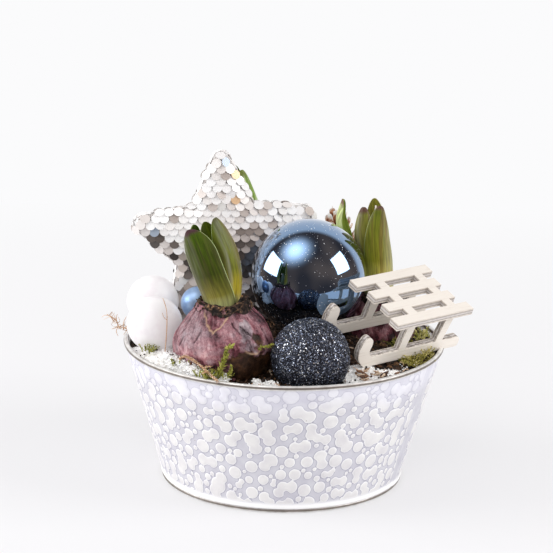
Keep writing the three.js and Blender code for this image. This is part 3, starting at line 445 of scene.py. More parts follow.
def turned(normals: Array, spins: Array) -> Array:
    """Give a frame for each normal, spun about it: a 3 by 3 matrix whose third column is the normal.

    Args:
        normals: The normals, one row each.
        spins: The spins in radians.

    Returns:
        The matrices.
    """
    normals = unit(normals)
    helper = np.where(np.abs(normals[:, 2:3]) < 0.9, [[0, 0, 1.0]], [[1.0, 0, 0]])
    side = unit(np.cross(helper, normals))
    other = np.cross(normals, side)
    cos, sin = np.cos(spins)[:, None], np.sin(spins)[:, None]
    return np.stack([side * cos + other * sin, other * cos - side * sin, normals], axis=2)


# An uneven lump about a millimetre across, and a plainer one for what is too small to show more.
CRUMB = 0.5 * np.array(
    [[0, 0, 1], [0.9, 0, 0.4], [0.28, 0.85, 0.4], [-0.72, 0.53, 0.5], [-0.72, -0.53, 0.4], [0.28, -0.85, 0.5],
     [0.72, 0.53, -0.5], [-0.28, 0.85, -0.4], [-0.9, 0, -0.5], [-0.28, -0.85, -0.4], [0.72, -0.53, -0.4], [0, 0, -1]]
)
CRUMB_FACES = np.array(
    [[0, 1, 2], [0, 2, 3], [0, 3, 4], [0, 4, 5], [0, 5, 1], [1, 6, 2], [2, 7, 3], [3, 8, 4], [4, 9, 5], [5, 10, 1],
     [6, 7, 2], [7, 8, 3], [8, 9, 4], [9, 10, 5], [10, 6, 1], [11, 7, 6], [11, 8, 7], [11, 9, 8], [11, 10, 9],
     [11, 6, 10]]
)
GRAIN = 0.5 * np.array(
    [[0, 0, 1], [0.9, 0.1, 0.1], [0, 0.95, -0.1], [-0.85, -0.1, 0.15], [0.1, -0.95, 0], [0, 0, -0.9]]
)
GRAIN_FACES = np.array([[0, 1, 2], [0, 2, 3], [0, 3, 4], [0, 4, 1], [5, 2, 1], [5, 3, 2], [5, 4, 3], [5, 1, 4]])


def seat(piece: Piece, slot: str, *nodes: str) -> None:
    """Fix a piece to the object, and hide the solids that it stands for.

    Args:
        piece: The piece.
        slot: Not used.
        nodes: The solids.
    """
    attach(piece, "root")
    if nodes:
        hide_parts(*nodes)
    log.info("%s: %d faces, for %s", piece.name, len(piece.data.polygons), ", ".join(nodes) or "detail")


# Finishes. Each is named for what the real surface is.


@dataclass(frozen=True)
class Finish:
    """What every finish has: a name, and a way to paint its shader."""

    name: str

    def material(self) -> bpy.types.Material:
        """Make the material, or find it if it is already made.

        Returns:
            The material.
        """
        found = bpy.data.materials.get(self.name)
        if found:
            return found
        made = bpy.data.materials.new(self.name)
        made.use_nodes = True
        tree = made.node_tree
        tree.nodes.clear()
        surface = add(tree, "BsdfPrincipled")
        add(tree, "OutputMaterial", surface)
        for name, value in self.paint(tree).items():
            feed(tree, surface.node.inputs[name.replace("_", " ")], value)
        return made

    def dress(self, *pieces: Piece) -> None:
        """Give pieces that keep their own mesh this finish alone.

        Args:
            pieces: The pieces.
        """
        for piece in pieces:
            piece.data.materials.clear()
            piece.data.materials.append(self.material())

    def paint(self, tree: Tree) -> dict:
        """Add the nodes to the tree, and give what each of the shader's inputs gets."""
        return {}

    def bump(self, tree: Tree, height: Socket, depth: float, strength: float = 1.0) -> Socket:
        """Raise the surface by a height from nought to one, depth millimetres deep."""
        return add(tree, "Bump", Height=height, Distance=depth * MM, Strength=strength)


@dataclass(frozen=True)
class EnamelledTin(Finish):
    """Tin sheet, pressed into raised drops and sprayed white: the drops are whitest, and a shadow rings each one."""

    drop: str = "#E5E3E2"
    # ring is the colour of the painted shadow round each drop.
    ring: str = "#918F9C"
    ground: str = "#CFCED5"
    specks: str = "#6E5540"

    def paint(self, tree: Tree) -> dict:
        """Colour by the distance to the drops' edges, with painted shadow rings and edge highlights, soil specks and
        a fine spray texture.

        Args:
            tree: The material's nodes.

        Returns:
            What each of the shader's inputs gets.
        """
        place = add(tree, "TexCoord")
        edge = add(tree, "Attribute", attribute_name="edge")
        wobble = add(tree, "TexNoise", place, per_mm(1.6), 3.0)
        shifted = add(tree, "Math", wobble, 0.5, edge)
        share = add(tree, "MapRange", shifted, -1.25, 1.75)
        # Painted shadow: the ring colour round each drop's edge. Painted highlight: the paler band just inside the
        # edge, lighter than the drop's middle.
        colours = add(
            tree, "ValToRGB", share,
            stops=(
                (0.28, self.ground), (0.37, "#B9B8C5"), (0.42, self.ring), (0.47, "#E4E3E8"), (0.54, "#F5F4F3"),
                (0.80, self.drop),
            ),
        )
        # Near the top the pattern is fainter, with the same painted shadow ring in a paler grey.
        faded_colours = add(
            tree, "ValToRGB", share,
            stops=((0.30, "#DEDDE6"), (0.385, "#D2D1DB"), (0.42, "#BAB9C5"), (0.46, "#DAD9E2"), (0.60, "#EAE9EF")),
        )
        faded = add(tree, "Attribute", attribute_name="faded")
        plain = add(tree, "Mix", faded, colours, faded_colours)
        cloud = add(tree, "TexNoise", place, per_mm(9), 4.0)
        cloudy = add(tree, "ValToRGB", cloud, stops=((0.3, "#EFEEF2"), (0.65, "#FFFFFF")))
        toned = add(tree, "Mix", 1.0, plain, cloudy, blend_type="MULTIPLY")
        foot = add(tree, "Attribute", attribute_name="foot")
        painted = add(tree, "Mix", foot, toned, "#F7F6F6")
        dirt = add(tree, "TexNoise", place, per_mm(3.2), 5.0, 0.62)
        spots = add(tree, "ValToRGB", dirt, stops=((0.735, "#000000"), (0.76, "#FFFFFF")))
        dirty = add(tree, "Mix", spots, painted, self.specks)
        grain = add(tree, "TexNoise", place, per_mm(0.7), 2.0)
        # Sprayed enamel is satin, with a soft broad highlight.
        return {"Base Color": dirty, "Normal": self.bump(tree, grain, 0.05, 0.5), "Roughness": 0.42, "IOR": 1.5}


@dataclass(frozen=True)
class RolledZinc(Finish):
    """Zinc-plated sheet, rolled and handled: dull grey with scuffs, a broad highlight and a painted dark reflection
    band.
    """

    pale: str = "#EFEEEC"
    dull: str = "#CDCBC8"
    # under is the dark colour of the painted reflection band, not a colour of the zinc.
    under: str = "#928A84"

    def paint(self, tree: Tree) -> dict:
        """Colour with cloudy oxide, paint a dark reflection band where it faces sideways, and scuff it round the pot.

        Args:
            tree: The material's nodes.

        Returns:
            What each of the shader's inputs gets.
        """
        place = add(tree, "TexCoord")
        cloud = add(tree, "TexNoise", place, per_mm(6), 5.0, 0.65)
        colour = add(tree, "ValToRGB", cloud, stops=((0.32, self.dull), (0.62, self.pale)))
        # Painted reflection: where the zinc faces sideways it is darkened by under, as if mirroring the dim room in
        # front, and where it faces up or down it stays pale.
        way = add(tree, "SeparateXYZ", add(tree, "NewGeometry"))
        facing = add(tree, "MapRange", way, -1.0)
        sides = add(
            tree, "ValToRGB", facing,
            stops=((0.28, "#FFFFFF"), (0.42, self.under), (0.70, self.under), (0.84, "#FFFFFF")),
        )
        oxide_and_painted_reflection = add(tree, "Mix", 1.0, colour, sides, blend_type="MULTIPLY")
        rough = add(tree, "MapRange", cloud, 0.3, 0.7, 0.5, 0.36)
        scuff = add(tree, "TexNoise", place, per_mm(1.2), 4.0)
        # A little white oxide lies on the zinc, so it isn't wholly a mirror.
        return {"Base Color": oxide_and_painted_reflection, "Roughness": rough, "Normal": self.bump(tree, scuff, 0.03, 0.5), "Metallic": 0.5}


@dataclass(frozen=True)
class Crumbly(Finish):
    """Loose matter whose grains differ in tone, such as peat, flock, bark or moss."""

    stops: tuple
    speckle: float = 1.2
    roughness: float = 0.9
    depth: float = 0.3
    glow: float = 0.0

    def paint(self, tree: Tree) -> dict:
        """Colour by each grain's own tone and a fine speckle.

        Args:
            tree: The material's nodes.

        Returns:
            What each of the shader's inputs gets.
        """
        place = add(tree, "TexCoord")
        tone = add(tree, "Attribute", attribute_name="tone")
        speckle = add(tree, "TexNoise", place, per_mm(self.speckle), 4.0)
        swing = add(tree, "Math", speckle, 0.7, -0.35)
        both = add(tree, "Math", tone, swing, operation="ADD")
        colour = add(tree, "ValToRGB", both, stops=self.stops)
        # Dry loose matter is matt, and flock and moss let a little light through.
        return {
            "Base Color": colour, "Normal": self.bump(tree, speckle, self.depth, 0.7), "Roughness": self.roughness,
            "Subsurface Weight": self.glow, "Subsurface Scale": 0.002, "Subsurface Radius": (1.0, 1.0, 1.0),
        }


@dataclass(frozen=True)
class BulbTunic(Finish):
    """The bulb's dry papery skin: wine purple with a silver bloom, fibres that run up it, and dark bared scales."""

    bared: str = "#3E2A1E"
    edge: str = "#B8977A"

    def paint(self, tree: Tree) -> dict:
        """Colour from wine to pink, with painted shade in the fold valleys and painted light on the ridges, grey the
        bloom, and add the bared flesh and the tan edges.

        Args:
            tree: The material's nodes.

        Returns:
            What each of the shader's inputs gets.
        """
        grain = add(tree, "Attribute", attribute_name="grain", out="Vector")
        place = add(tree, "TexCoord")
        fold, blush, silver, bared, tan = (
            add(tree, "Attribute", attribute_name=name) for name in ("fold", "blush", "silver", "bared", "tan")
        )
        fibres = add(tree, "TexNoise", grain, per_mm(1.1), 4.0, 0.6)
        crackle = add(tree, "TexNoise", place, per_mm(2.2), 5.0, 0.62, Distortion=1.2)
        clouds = add(tree, "TexNoise", place, per_mm(6.5), 6.0, 0.65)
        streaked = add(tree, "Math", fibres, 0.24, -0.06)
        broken = add(tree, "Math", crackle, 0.62, streaked)
        # Painted shade and light: the fold height darkens the skin in the fold valleys and lightens it on the ridges.
        fold_shaded = add(tree, "Math", fold, 0.13, broken)
        shade = add(tree, "Math", blush, 0.2, fold_shaded)
        skin = add(
            tree, "ValToRGB", shade,
            stops=((0.12, "#240B10"), (0.26, "#521D28"), (0.40, "#865058"), (0.56, "#B37F84"), (0.74, "#DDB6B6")),
        )
        pale = add(
            tree, "ValToRGB", shade,
            stops=((0.12, "#33262A"), (0.28, "#75646A"), (0.46, "#A29095"), (0.72, "#CDC0C1")),
        )
        dusted = add(tree, "ValToRGB", clouds, stops=((0.46, "#000000"), (0.60, "#FFFFFF")))
        dust = add(tree, "Math", dusted, 0.35, silver, use_clamp=True)
        layered = add(tree, "Mix", dust, skin, pale)
        under = add(
            tree, "ValToRGB", clouds,
            stops=((0.36, "#22150F"), (0.50, self.bared), (0.62, "#60402A"), (0.76, "#96704A")),
        )
        opened = add(tree, "Mix", bared, layered, under)
        edged = add(tree, "Mix", tan, opened, self.edge)
        height = add(tree, "Math", fibres, crackle, operation="ADD")
        bumped = self.bump(tree, height, 0.45, 0.9)
        # Papery skin has a faint waxy shine, and the bared flesh is smoother.
        rough = add(tree, "MapRange", bared, 0.0, 1.0, 0.5, 0.36)
        return {"Base Color": edged, "Normal": bumped, "Roughness": rough, "Specular IOR Level": 0.3}


@dataclass(frozen=True)
class LeafSkin(Finish):
    """A young hyacinth leaf: fleshy and smooth with parallel veins, a pale margin and a waxy grey bloom with painted
    sheen.
    """

    base: str = "#AEB93A"
    middle: str = "#5F8428"
    tip: str = "#5C7A2C"
    left: str = "#5F8428"
    right: str = "#5F8428"
    left_share: float = 0.0
    right_share: float = 0.0
    inside: str = "#4E5C10"
    streak: str = "#6B5A55"
    streak_share: float = 0.2
    # The bloom is partly the wax's grey and partly painted sheen, laid along the leaf at bloom_side.
    bloom_side: float = 0.0
    bloom_share: float = 0.25
    blush: str = "#5B4A4C"
    blush_from: float = 0.93

    def paint(self, tree: Tree) -> dict:
        """Colour along and across the leaf, and draw its veins, bloom with painted sheen, margin and tip.

        Args:
            tree: The material's nodes.

        Returns:
            What each of the shader's inputs gets.
        """
        along, across, outer = (
            add(tree, "Attribute", attribute_name=name) for name in ("along", "across", "outer")
        )
        grain = add(tree, "Attribute", attribute_name="grain", out="Vector")
        place = add(tree, "TexCoord")
        colour = add(
            tree, "ValToRGB", along,
            stops=((0.10, "#D6D79A"), (0.24, self.base), (0.48, self.middle), (0.93, self.tip)),
        )
        for tint, share, far in ((self.left, self.left_share, -1.0), (self.right, self.right_share, 1.0)):
            side = add(tree, "MapRange", across, far * 0.05, far * 0.85, 0.0, share)
            colour = add(tree, "Mix", side, colour, tint)
        veins = add(tree, "TexNoise", grain, per_mm(0.8), 3.0)
        broad = add(tree, "TexNoise", grain, per_mm(2.6), 2.0)
        dark = add(tree, "ValToRGB", broad, stops=((0.50, "#000000"), (0.62, "#FFFFFF")))
        streaked = add(tree, "Math", dark, self.streak_share, operation="MULTIPLY")
        colour = add(tree, "Mix", streaked, colour, self.streak)
        light = add(tree, "ValToRGB", veins, stops=((0.35, "#C4C4C4"), (0.65, "#FFFFFF")))
        colour = add(tree, "Mix", 1.0, colour, light, blend_type="MULTIPLY")
        cloud = add(tree, "TexNoise", grain, per_mm(3.4), 4.0)
        # Bloom and painted sheen: grey-white patches near bloom_side across the leaf.
        offset = add(tree, "Math", across, self.bloom_side, operation="SUBTRACT")
        away = add(tree, "Math", offset, operation="ABSOLUTE")
        near = add(tree, "MapRange", away, 0.1, 0.8, 1.0, 0.0)
        dusty = add(tree, "ValToRGB", cloud, stops=((0.40, "#000000"), (0.62, "#FFFFFF")))
        bloom_and_sheen = add(tree, "Math", near, dusty, operation="MULTIPLY")
        bloom_and_sheen_share = add(tree, "Math", bloom_and_sheen, self.bloom_share, operation="MULTIPLY")
        colour = add(tree, "Mix", bloom_and_sheen_share, colour, "#C9C8BF")
        reach = add(tree, "Math", across, operation="ABSOLUTE")
        margin = add(tree, "MapRange", reach, 0.955, 0.995)
        colour = add(tree, "Mix", margin, colour, "#B3BF86")
        ragged = add(tree, "Math", cloud, 0.06, along)
        top = add(tree, "MapRange", ragged, self.blush_from + 0.02, self.blush_from + 0.06)
        colour = add(tree, "Mix", top, colour, self.blush)
        shaded = add(tree, "Mix", 1.0, self.inside, light, blend_type="MULTIPLY")
        face = add(tree, "Mix", outer, shaded, colour)
        pores = add(tree, "TexNoise", place, per_mm(0.5), 2.0)
        height = add(tree, "Math", veins, pores, operation="ADD")
        # A leaf's cuticle gives a soft gloss, and thin flesh lets a little light through.
        return {
            "Base Color": face, "Normal": self.bump(tree, height, 0.1, 0.6), "Roughness": 0.4,
            "Specular IOR Level": 0.2, "Subsurface Weight": 0.12, "Subsurface Scale": 0.001,
            "Subsurface Radius": (0.5, 1.0, 0.2),
        }


@dataclass(frozen=True)
class SequinFoil(Finish):
    """Silvered plastic film, punched into discs: mirror bright, each with its own tone."""

    def paint(self, tree: Tree) -> dict:
        """Colour each disc by its tone: most silver, a few dark, two copper and one blue.

        Args:
            tree: The material's nodes.

        Returns:
            What each of the shader's inputs gets.
        """
        tone = add(tree, "Attribute", attribute_name="tone")
        colour = add(
            tree, "ValToRGB", tone,
            stops=(
                (0.0, "#2E2A28"), (0.12, "#645C57"), (0.24, "#A3978F"), (0.42, "#D3C9C3"), (0.62, "#F6F3F1"),
                (0.86, "#FFFFFF"), (0.87, "#E2BE96"), (0.93, "#E2BE96"), (0.94, "#A9B6C6"), (1.0, "#A9B6C6"),
            ),
        )
        dent = add(tree, "TexNoise", add(tree, "TexCoord"), per_mm(4), 1.0)
        bumped = self.bump(tree, dent, 0.15, 0.5)
        # Satin silvered film: most of what it sends back is scattered.
        return {"Base Color": colour, "Normal": bumped, "Metallic": 0.2, "Roughness": 0.28, "IOR": 1.6}


@dataclass(frozen=True)
class BackingCloth(Finish):
    """Grey woven polyester under the sequins, matt, with its threads 0.6 mm apart so that they show."""

    thread: float = 0.6

    def paint(self, tree: Tree) -> dict:
        """Cross two sets of threads.

        Args:
            tree: The material's nodes.

        Returns:
            What each of the shader's inputs gets.
        """
        place = add(tree, "TexCoord")
        upright, level = (
            add(tree, "TexWave", place, per_mm(self.thread) / FULL_TURN, bands_direction=way) for way in ("X", "Z")
        )
        weave = add(tree, "Math", upright, level, operation="MAXIMUM")
        colour = add(tree, "ValToRGB", weave, stops=((0.2, "#8A8380"), (0.9, "#CFC9C5")))
        # Matt cloth, so that what shows between the sequins is soft and dark.
        return {"Base Color": colour, "Normal": self.bump(tree, weave, 0.15), "Roughness": 0.85}


@dataclass(frozen=True)
class SilveredGlass(Finish):
    """Blown glass, silvered inside and lacquered blue: a dark mirror under a clear gloss, with flock dust on it."""

    tint: str = "#7091B7"
    dust: str = "#EDF1F4"

    def paint(self, tree: Tree) -> dict:
        """Tint the mirror, and scatter dust more thickly on top.

        Args:
            tree: The material's nodes.

        Returns:
            What each of the shader's inputs gets.
        """
        place = add(tree, "TexCoord")
        specks = add(tree, "TexNoise", place, per_mm(1.1), 2.0, 0.5)
        patches = add(tree, "TexNoise", place, per_mm(22), 1.0)
        raised = add(tree, "Math", patches, 0.16, specks)
        way = add(tree, "SeparateXYZ", add(tree, "NewGeometry"))
        fallen = add(tree, "MapRange", way, 0.1, 0.95, 0.0, 0.055)
        settled = add(tree, "Math", raised, fallen, operation="ADD")
        mask = add(tree, "MapRange", settled, 0.80, 0.825)
        colour = add(tree, "Mix", mask, self.tint, self.dust)
        mirror = add(tree, "MapRange", mask, 0.0, 1.0, 1.0, 0.0)
        rough = add(tree, "MapRange", mask, 0.0, 1.0, 0.05, 0.8)
        # Blown glass is a sharp mirror, dulled only where dust lies on it.
        return {
            "Base Color": colour, "Metallic": mirror, "Roughness": rough, "Coat Weight": 1.0, "Coat Roughness": 0.02,
            "Coat IOR": 1.55,
        }


@dataclass(frozen=True)
class GlitterFlake(Finish):
    """Hexagons cut from foil, from navy to silver-blue, each catching the light at its own angle."""

    def paint(self, tree: Tree) -> dict:
        """Colour each flake by its tone.

        Args:
            tree: The material's nodes.

        Returns:
            What each of the shader's inputs gets.
        """
        tone = add(tree, "Attribute", attribute_name="tone")
        colour = add(
            tree, "ValToRGB", tone,
            stops=((0.0, "#2C303B"), (0.45, "#525869"), (0.75, "#8490AA"), (0.9, "#D3DCED"), (1.0, "#FFFFFF")),
        )
        # Cut foil flashes at some angles and is nearly black at others.
        return {"Base Color": colour, "Metallic": 0.8, "Roughness": 0.3}


@dataclass(frozen=True)
class Lacquer(Finish):
    """Lacquer sprayed on a glass ball: an even colour with a faint cloud in it, and a painted glow where lift is set.
    """

    colour: str
    shade: str
    roughness: float
    metallic: float = 0.0
    coat: float = 0.0
    glow: float = 0.0
    # lift is the strength of a painted glow: emission that lightens the shade.
    lift: float = 0.0

    def paint(self, tree: Tree) -> dict:
        """Cloud the colour, pit it finely, and let it glow by lift, as painted light.

        Args:
            tree: The material's nodes.

        Returns:
            What each of the shader's inputs gets.
        """
        place = add(tree, "TexCoord")
        cloud = add(tree, "TexNoise", place, per_mm(7), 3.0)
        colour = add(tree, "ValToRGB", cloud, stops=((0.35, self.shade), (0.6, self.colour)))
        pits = add(tree, "TexNoise", place, per_mm(0.5), 1.0)
        # Sprayed lacquer has a soft broad highlight, and light goes a little way into a pearly one. The emission, set
        # by lift, is a painted glow that lightens the shaded side.
        return {
            "Base Color": colour, "Normal": self.bump(tree, pits, 0.02, 0.4), "Metallic": self.metallic,
            "Roughness": self.roughness, "Coat Weight": self.coat, "Coat Roughness": 0.25,
            "Subsurface Weight": self.glow, "Subsurface Scale": 0.008, "Subsurface Radius": (1.0, 1.0, 1.0),
            "Emission Color": self.colour, "Emission Strength": self.lift,
        }


@dataclass(frozen=True)
class Plywood(Finish):
    """Laser-cut poplar plywood: creamy face veneers with a faint grain, and greyed layers on every cut edge.

    The sheet is 4.5 mm thick with three layers; normal is the way through it and corner a point on its upper face.
    """

    normal: tuple
    grain: tuple
    corner: tuple
    thickness: float = 4.5
    face: str = "#F0E8DE"
    vein: str = "#E2D8CC"
    soot: float = 0.8

    def paint(self, tree: Tree) -> dict:
        """Tell faces from cut edges by the way they look, and draw the layers on the edges.

        Args:
            tree: The material's nodes.

        Returns:
            What each of the shader's inputs gets.
        """
        corner = tuple(value * MM for value in self.corner)
        local = add(tree, "VectorMath", add(tree, "TexCoord"), corner, operation="SUBTRACT")
        cross = tuple(Vector(self.normal).cross(Vector(self.grain)))
        through, run, over = (
            add(tree, "VectorMath", local, way, operation="DOT_PRODUCT") for way in (self.normal, self.grain, cross)
        )
        sheet = add(tree, "CombineXYZ", run, over, through)
        veneer = add(tree, "VectorMath", sheet, (0.08, 1, 1), operation="MULTIPLY")
        layered = add(tree, "VectorMath", sheet, (0.3, 0.3, 1), operation="MULTIPLY")
        figure = add(tree, "TexNoise", veneer, per_mm(1.4), 5.0)
        wood = add(tree, "ValToRGB", figure, stops=((0.26, self.vein), (0.46, self.face), (0.7, self.face)))
        layer = add(tree, "MapRange", through, 0.0, self.thickness * MM)
        streaks = add(tree, "TexNoise", layered, per_mm(0.9), 4.0, 0.7)
        wander = add(tree, "Math", streaks, 0.10, -0.05)
        depth = add(tree, "Math", layer, wander, operation="ADD")
        layers = add(
            tree, "ValToRGB", depth,
            stops=(
                (0.0, "#E4DBD0"), (0.22, "#D6CCC1"), (0.27, "#6E635B"), (0.32, "#CEC6C1"), (0.52, "#DCD6D2"),
                (0.66, "#CAC2BD"), (0.72, "#6A615B"), (0.77, "#DCD3C9"), (1.0, "#E6DDD3"),
            ),
        )
        sooty = add(tree, "ValToRGB", streaks, stops=((0.34, "#4E4A48"), (0.46, "#BDB7B2"), (0.56, "#FFFFFF")))
        edge = add(tree, "Mix", self.soot, layers, sooty, blend_type="MULTIPLY")
        way = add(tree, "NewGeometry", out="True Normal")
        facing = add(tree, "VectorMath", way, self.normal, operation="DOT_PRODUCT")
        flat = add(tree, "Math", facing, operation="ABSOLUTE")
        is_face = add(tree, "MapRange", flat, 0.55, 0.9)
        colour = add(tree, "Mix", is_face, edge, wood)
        # Bare sanded wood is nearly matt.
        return {"Base Color": colour, "Normal": self.bump(tree, figure, 0.08, 0.6), "Roughness": 0.72}


@dataclass(frozen=True)
class DrawnWire(Finish):
    """Drawn steel wire and pressed caps: bright grey with fine drawing lines."""

    def paint(self, tree: Tree) -> dict:
        """Line it along Z.

        Args:
            tree: The material's nodes.

        Returns:
            What each of the shader's inputs gets.
        """
        stretched = add(tree, "VectorMath", add(tree, "TexCoord"), (1, 1, 0.1), operation="MULTIPLY")
        lines = add(tree, "TexNoise", stretched, per_mm(0.6), 3.0)
        colour = add(tree, "ValToRGB", lines, stops=((0.3, "#9A9A98"), (0.7, "#D0D0CE")))
        # Drawn steel is bright, with a highlight blurred by the lines.
        return {"Base Color": colour, "Metallic": 1.0, "Roughness": 0.3}


@dataclass(frozen=True)
class PaintedFloor(Finish):
    """A sheet of matt white card that melts into the lit backdrop behind."""

    backdrop: str

    def paint(self, tree: Tree) -> dict:
        """Leave it plain and pale, lit from beneath, and let the far part shine as the backdrop does.

        Args:
            tree: The material's nodes.

        Returns:
            What each of the shader's inputs gets.
        """
        split = add(tree, "SeparateXYZ", add(tree, "TexCoord"), out="Y")
        far = add(tree, "MapRange", split, 0.18, 0.7)
        colour = add(tree, "Mix", far, "#B4B3B4", "#000000")
        shine = add(tree, "MapRange", far, 0.0, 1.0, 0.39)
        return {
            "Base Color": colour, "Emission Strength": shine, "Emission Color": self.backdrop, "Roughness": 1.0,
            "Specular IOR Level": 0.0,
        }


SOIL_MIX = Crumbly(
    "peat_and_bark_mix", ((0.15, "#0F0A07"), (0.42, "#2B1D14"), (0.62, "#4A3424"), (0.88, "#8A6848")), depth=0.5
)
SNOW_FLOCK = Crumbly(
    "cellulose_snow_flock", ((0.1, "#C0BAB1"), (0.34, "#E6E3DE"), (0.6, "#F7F5F3"), (0.9, "#FFFFFF")), 0.9, 0.95,
    glow=0.35,
)
LIVING_MOSS = Crumbly(
    "living_moss", ((0.05, "#3C3A10"), (0.32, "#6C6E1E"), (0.58, "#9A9B3A"), (0.82, "#C6BF68"), (1.0, "#DDD391")),
    2.5, 0.6, 0.1, 0.1,
)
DRIED_MOSS = Crumbly(
    "dried_moss", ((0.05, "#4A4318"), (0.35, "#7C7630"), (0.6, "#A0973F"), (0.85, "#C6BB74"), (1.0, "#DDD0A0")),
    2.5, 0.7, 0.1,
)
PINE_BARK = Crumbly(
    "pine_bark_chips", ((0.1, "#3A261C"), (0.4, "#6E4C38"), (0.65, "#A07C60"), (0.9, "#D6C4AE")), roughness=0.85
)
DRY_TWIG = Crumbly(
    "dry_juniper_twig", ((0.1, "#8E6444"), (0.4, "#C49A76"), (0.7, "#E0BB98"), (0.95, "#F2E0CC")), 0.8, 0.8, 0.15
)
DRY_NECK = Crumbly(
    "withered_bulb_neck",
    ((0.08, "#120C08"), (0.34, "#33221A"), (0.55, "#5C4430"), (0.75, "#9E7850"), (0.95, "#CDB48E")), 0.8, 0.85, 0.4,
)
CONE_WOOD = Crumbly(
    "whitened_pine_cone",
    ((0.05, "#4A2A1A"), (0.35, "#96593A"), (0.6, "#BC8460"), (0.78, "#E6D9CB"), (1.0, "#FBFAF6")), 1.4, 0.75, 0.25,
)
FLOWER_BUD = Crumbly(
    "closed_flower_bud", ((0.1, "#7E9152"), (0.45, "#B8BF95"), (0.75, "#D8D0C4"), (0.95, "#CDB3B0")),
    2.2, 0.5, 0.1, 0.1,
)


# The pot.


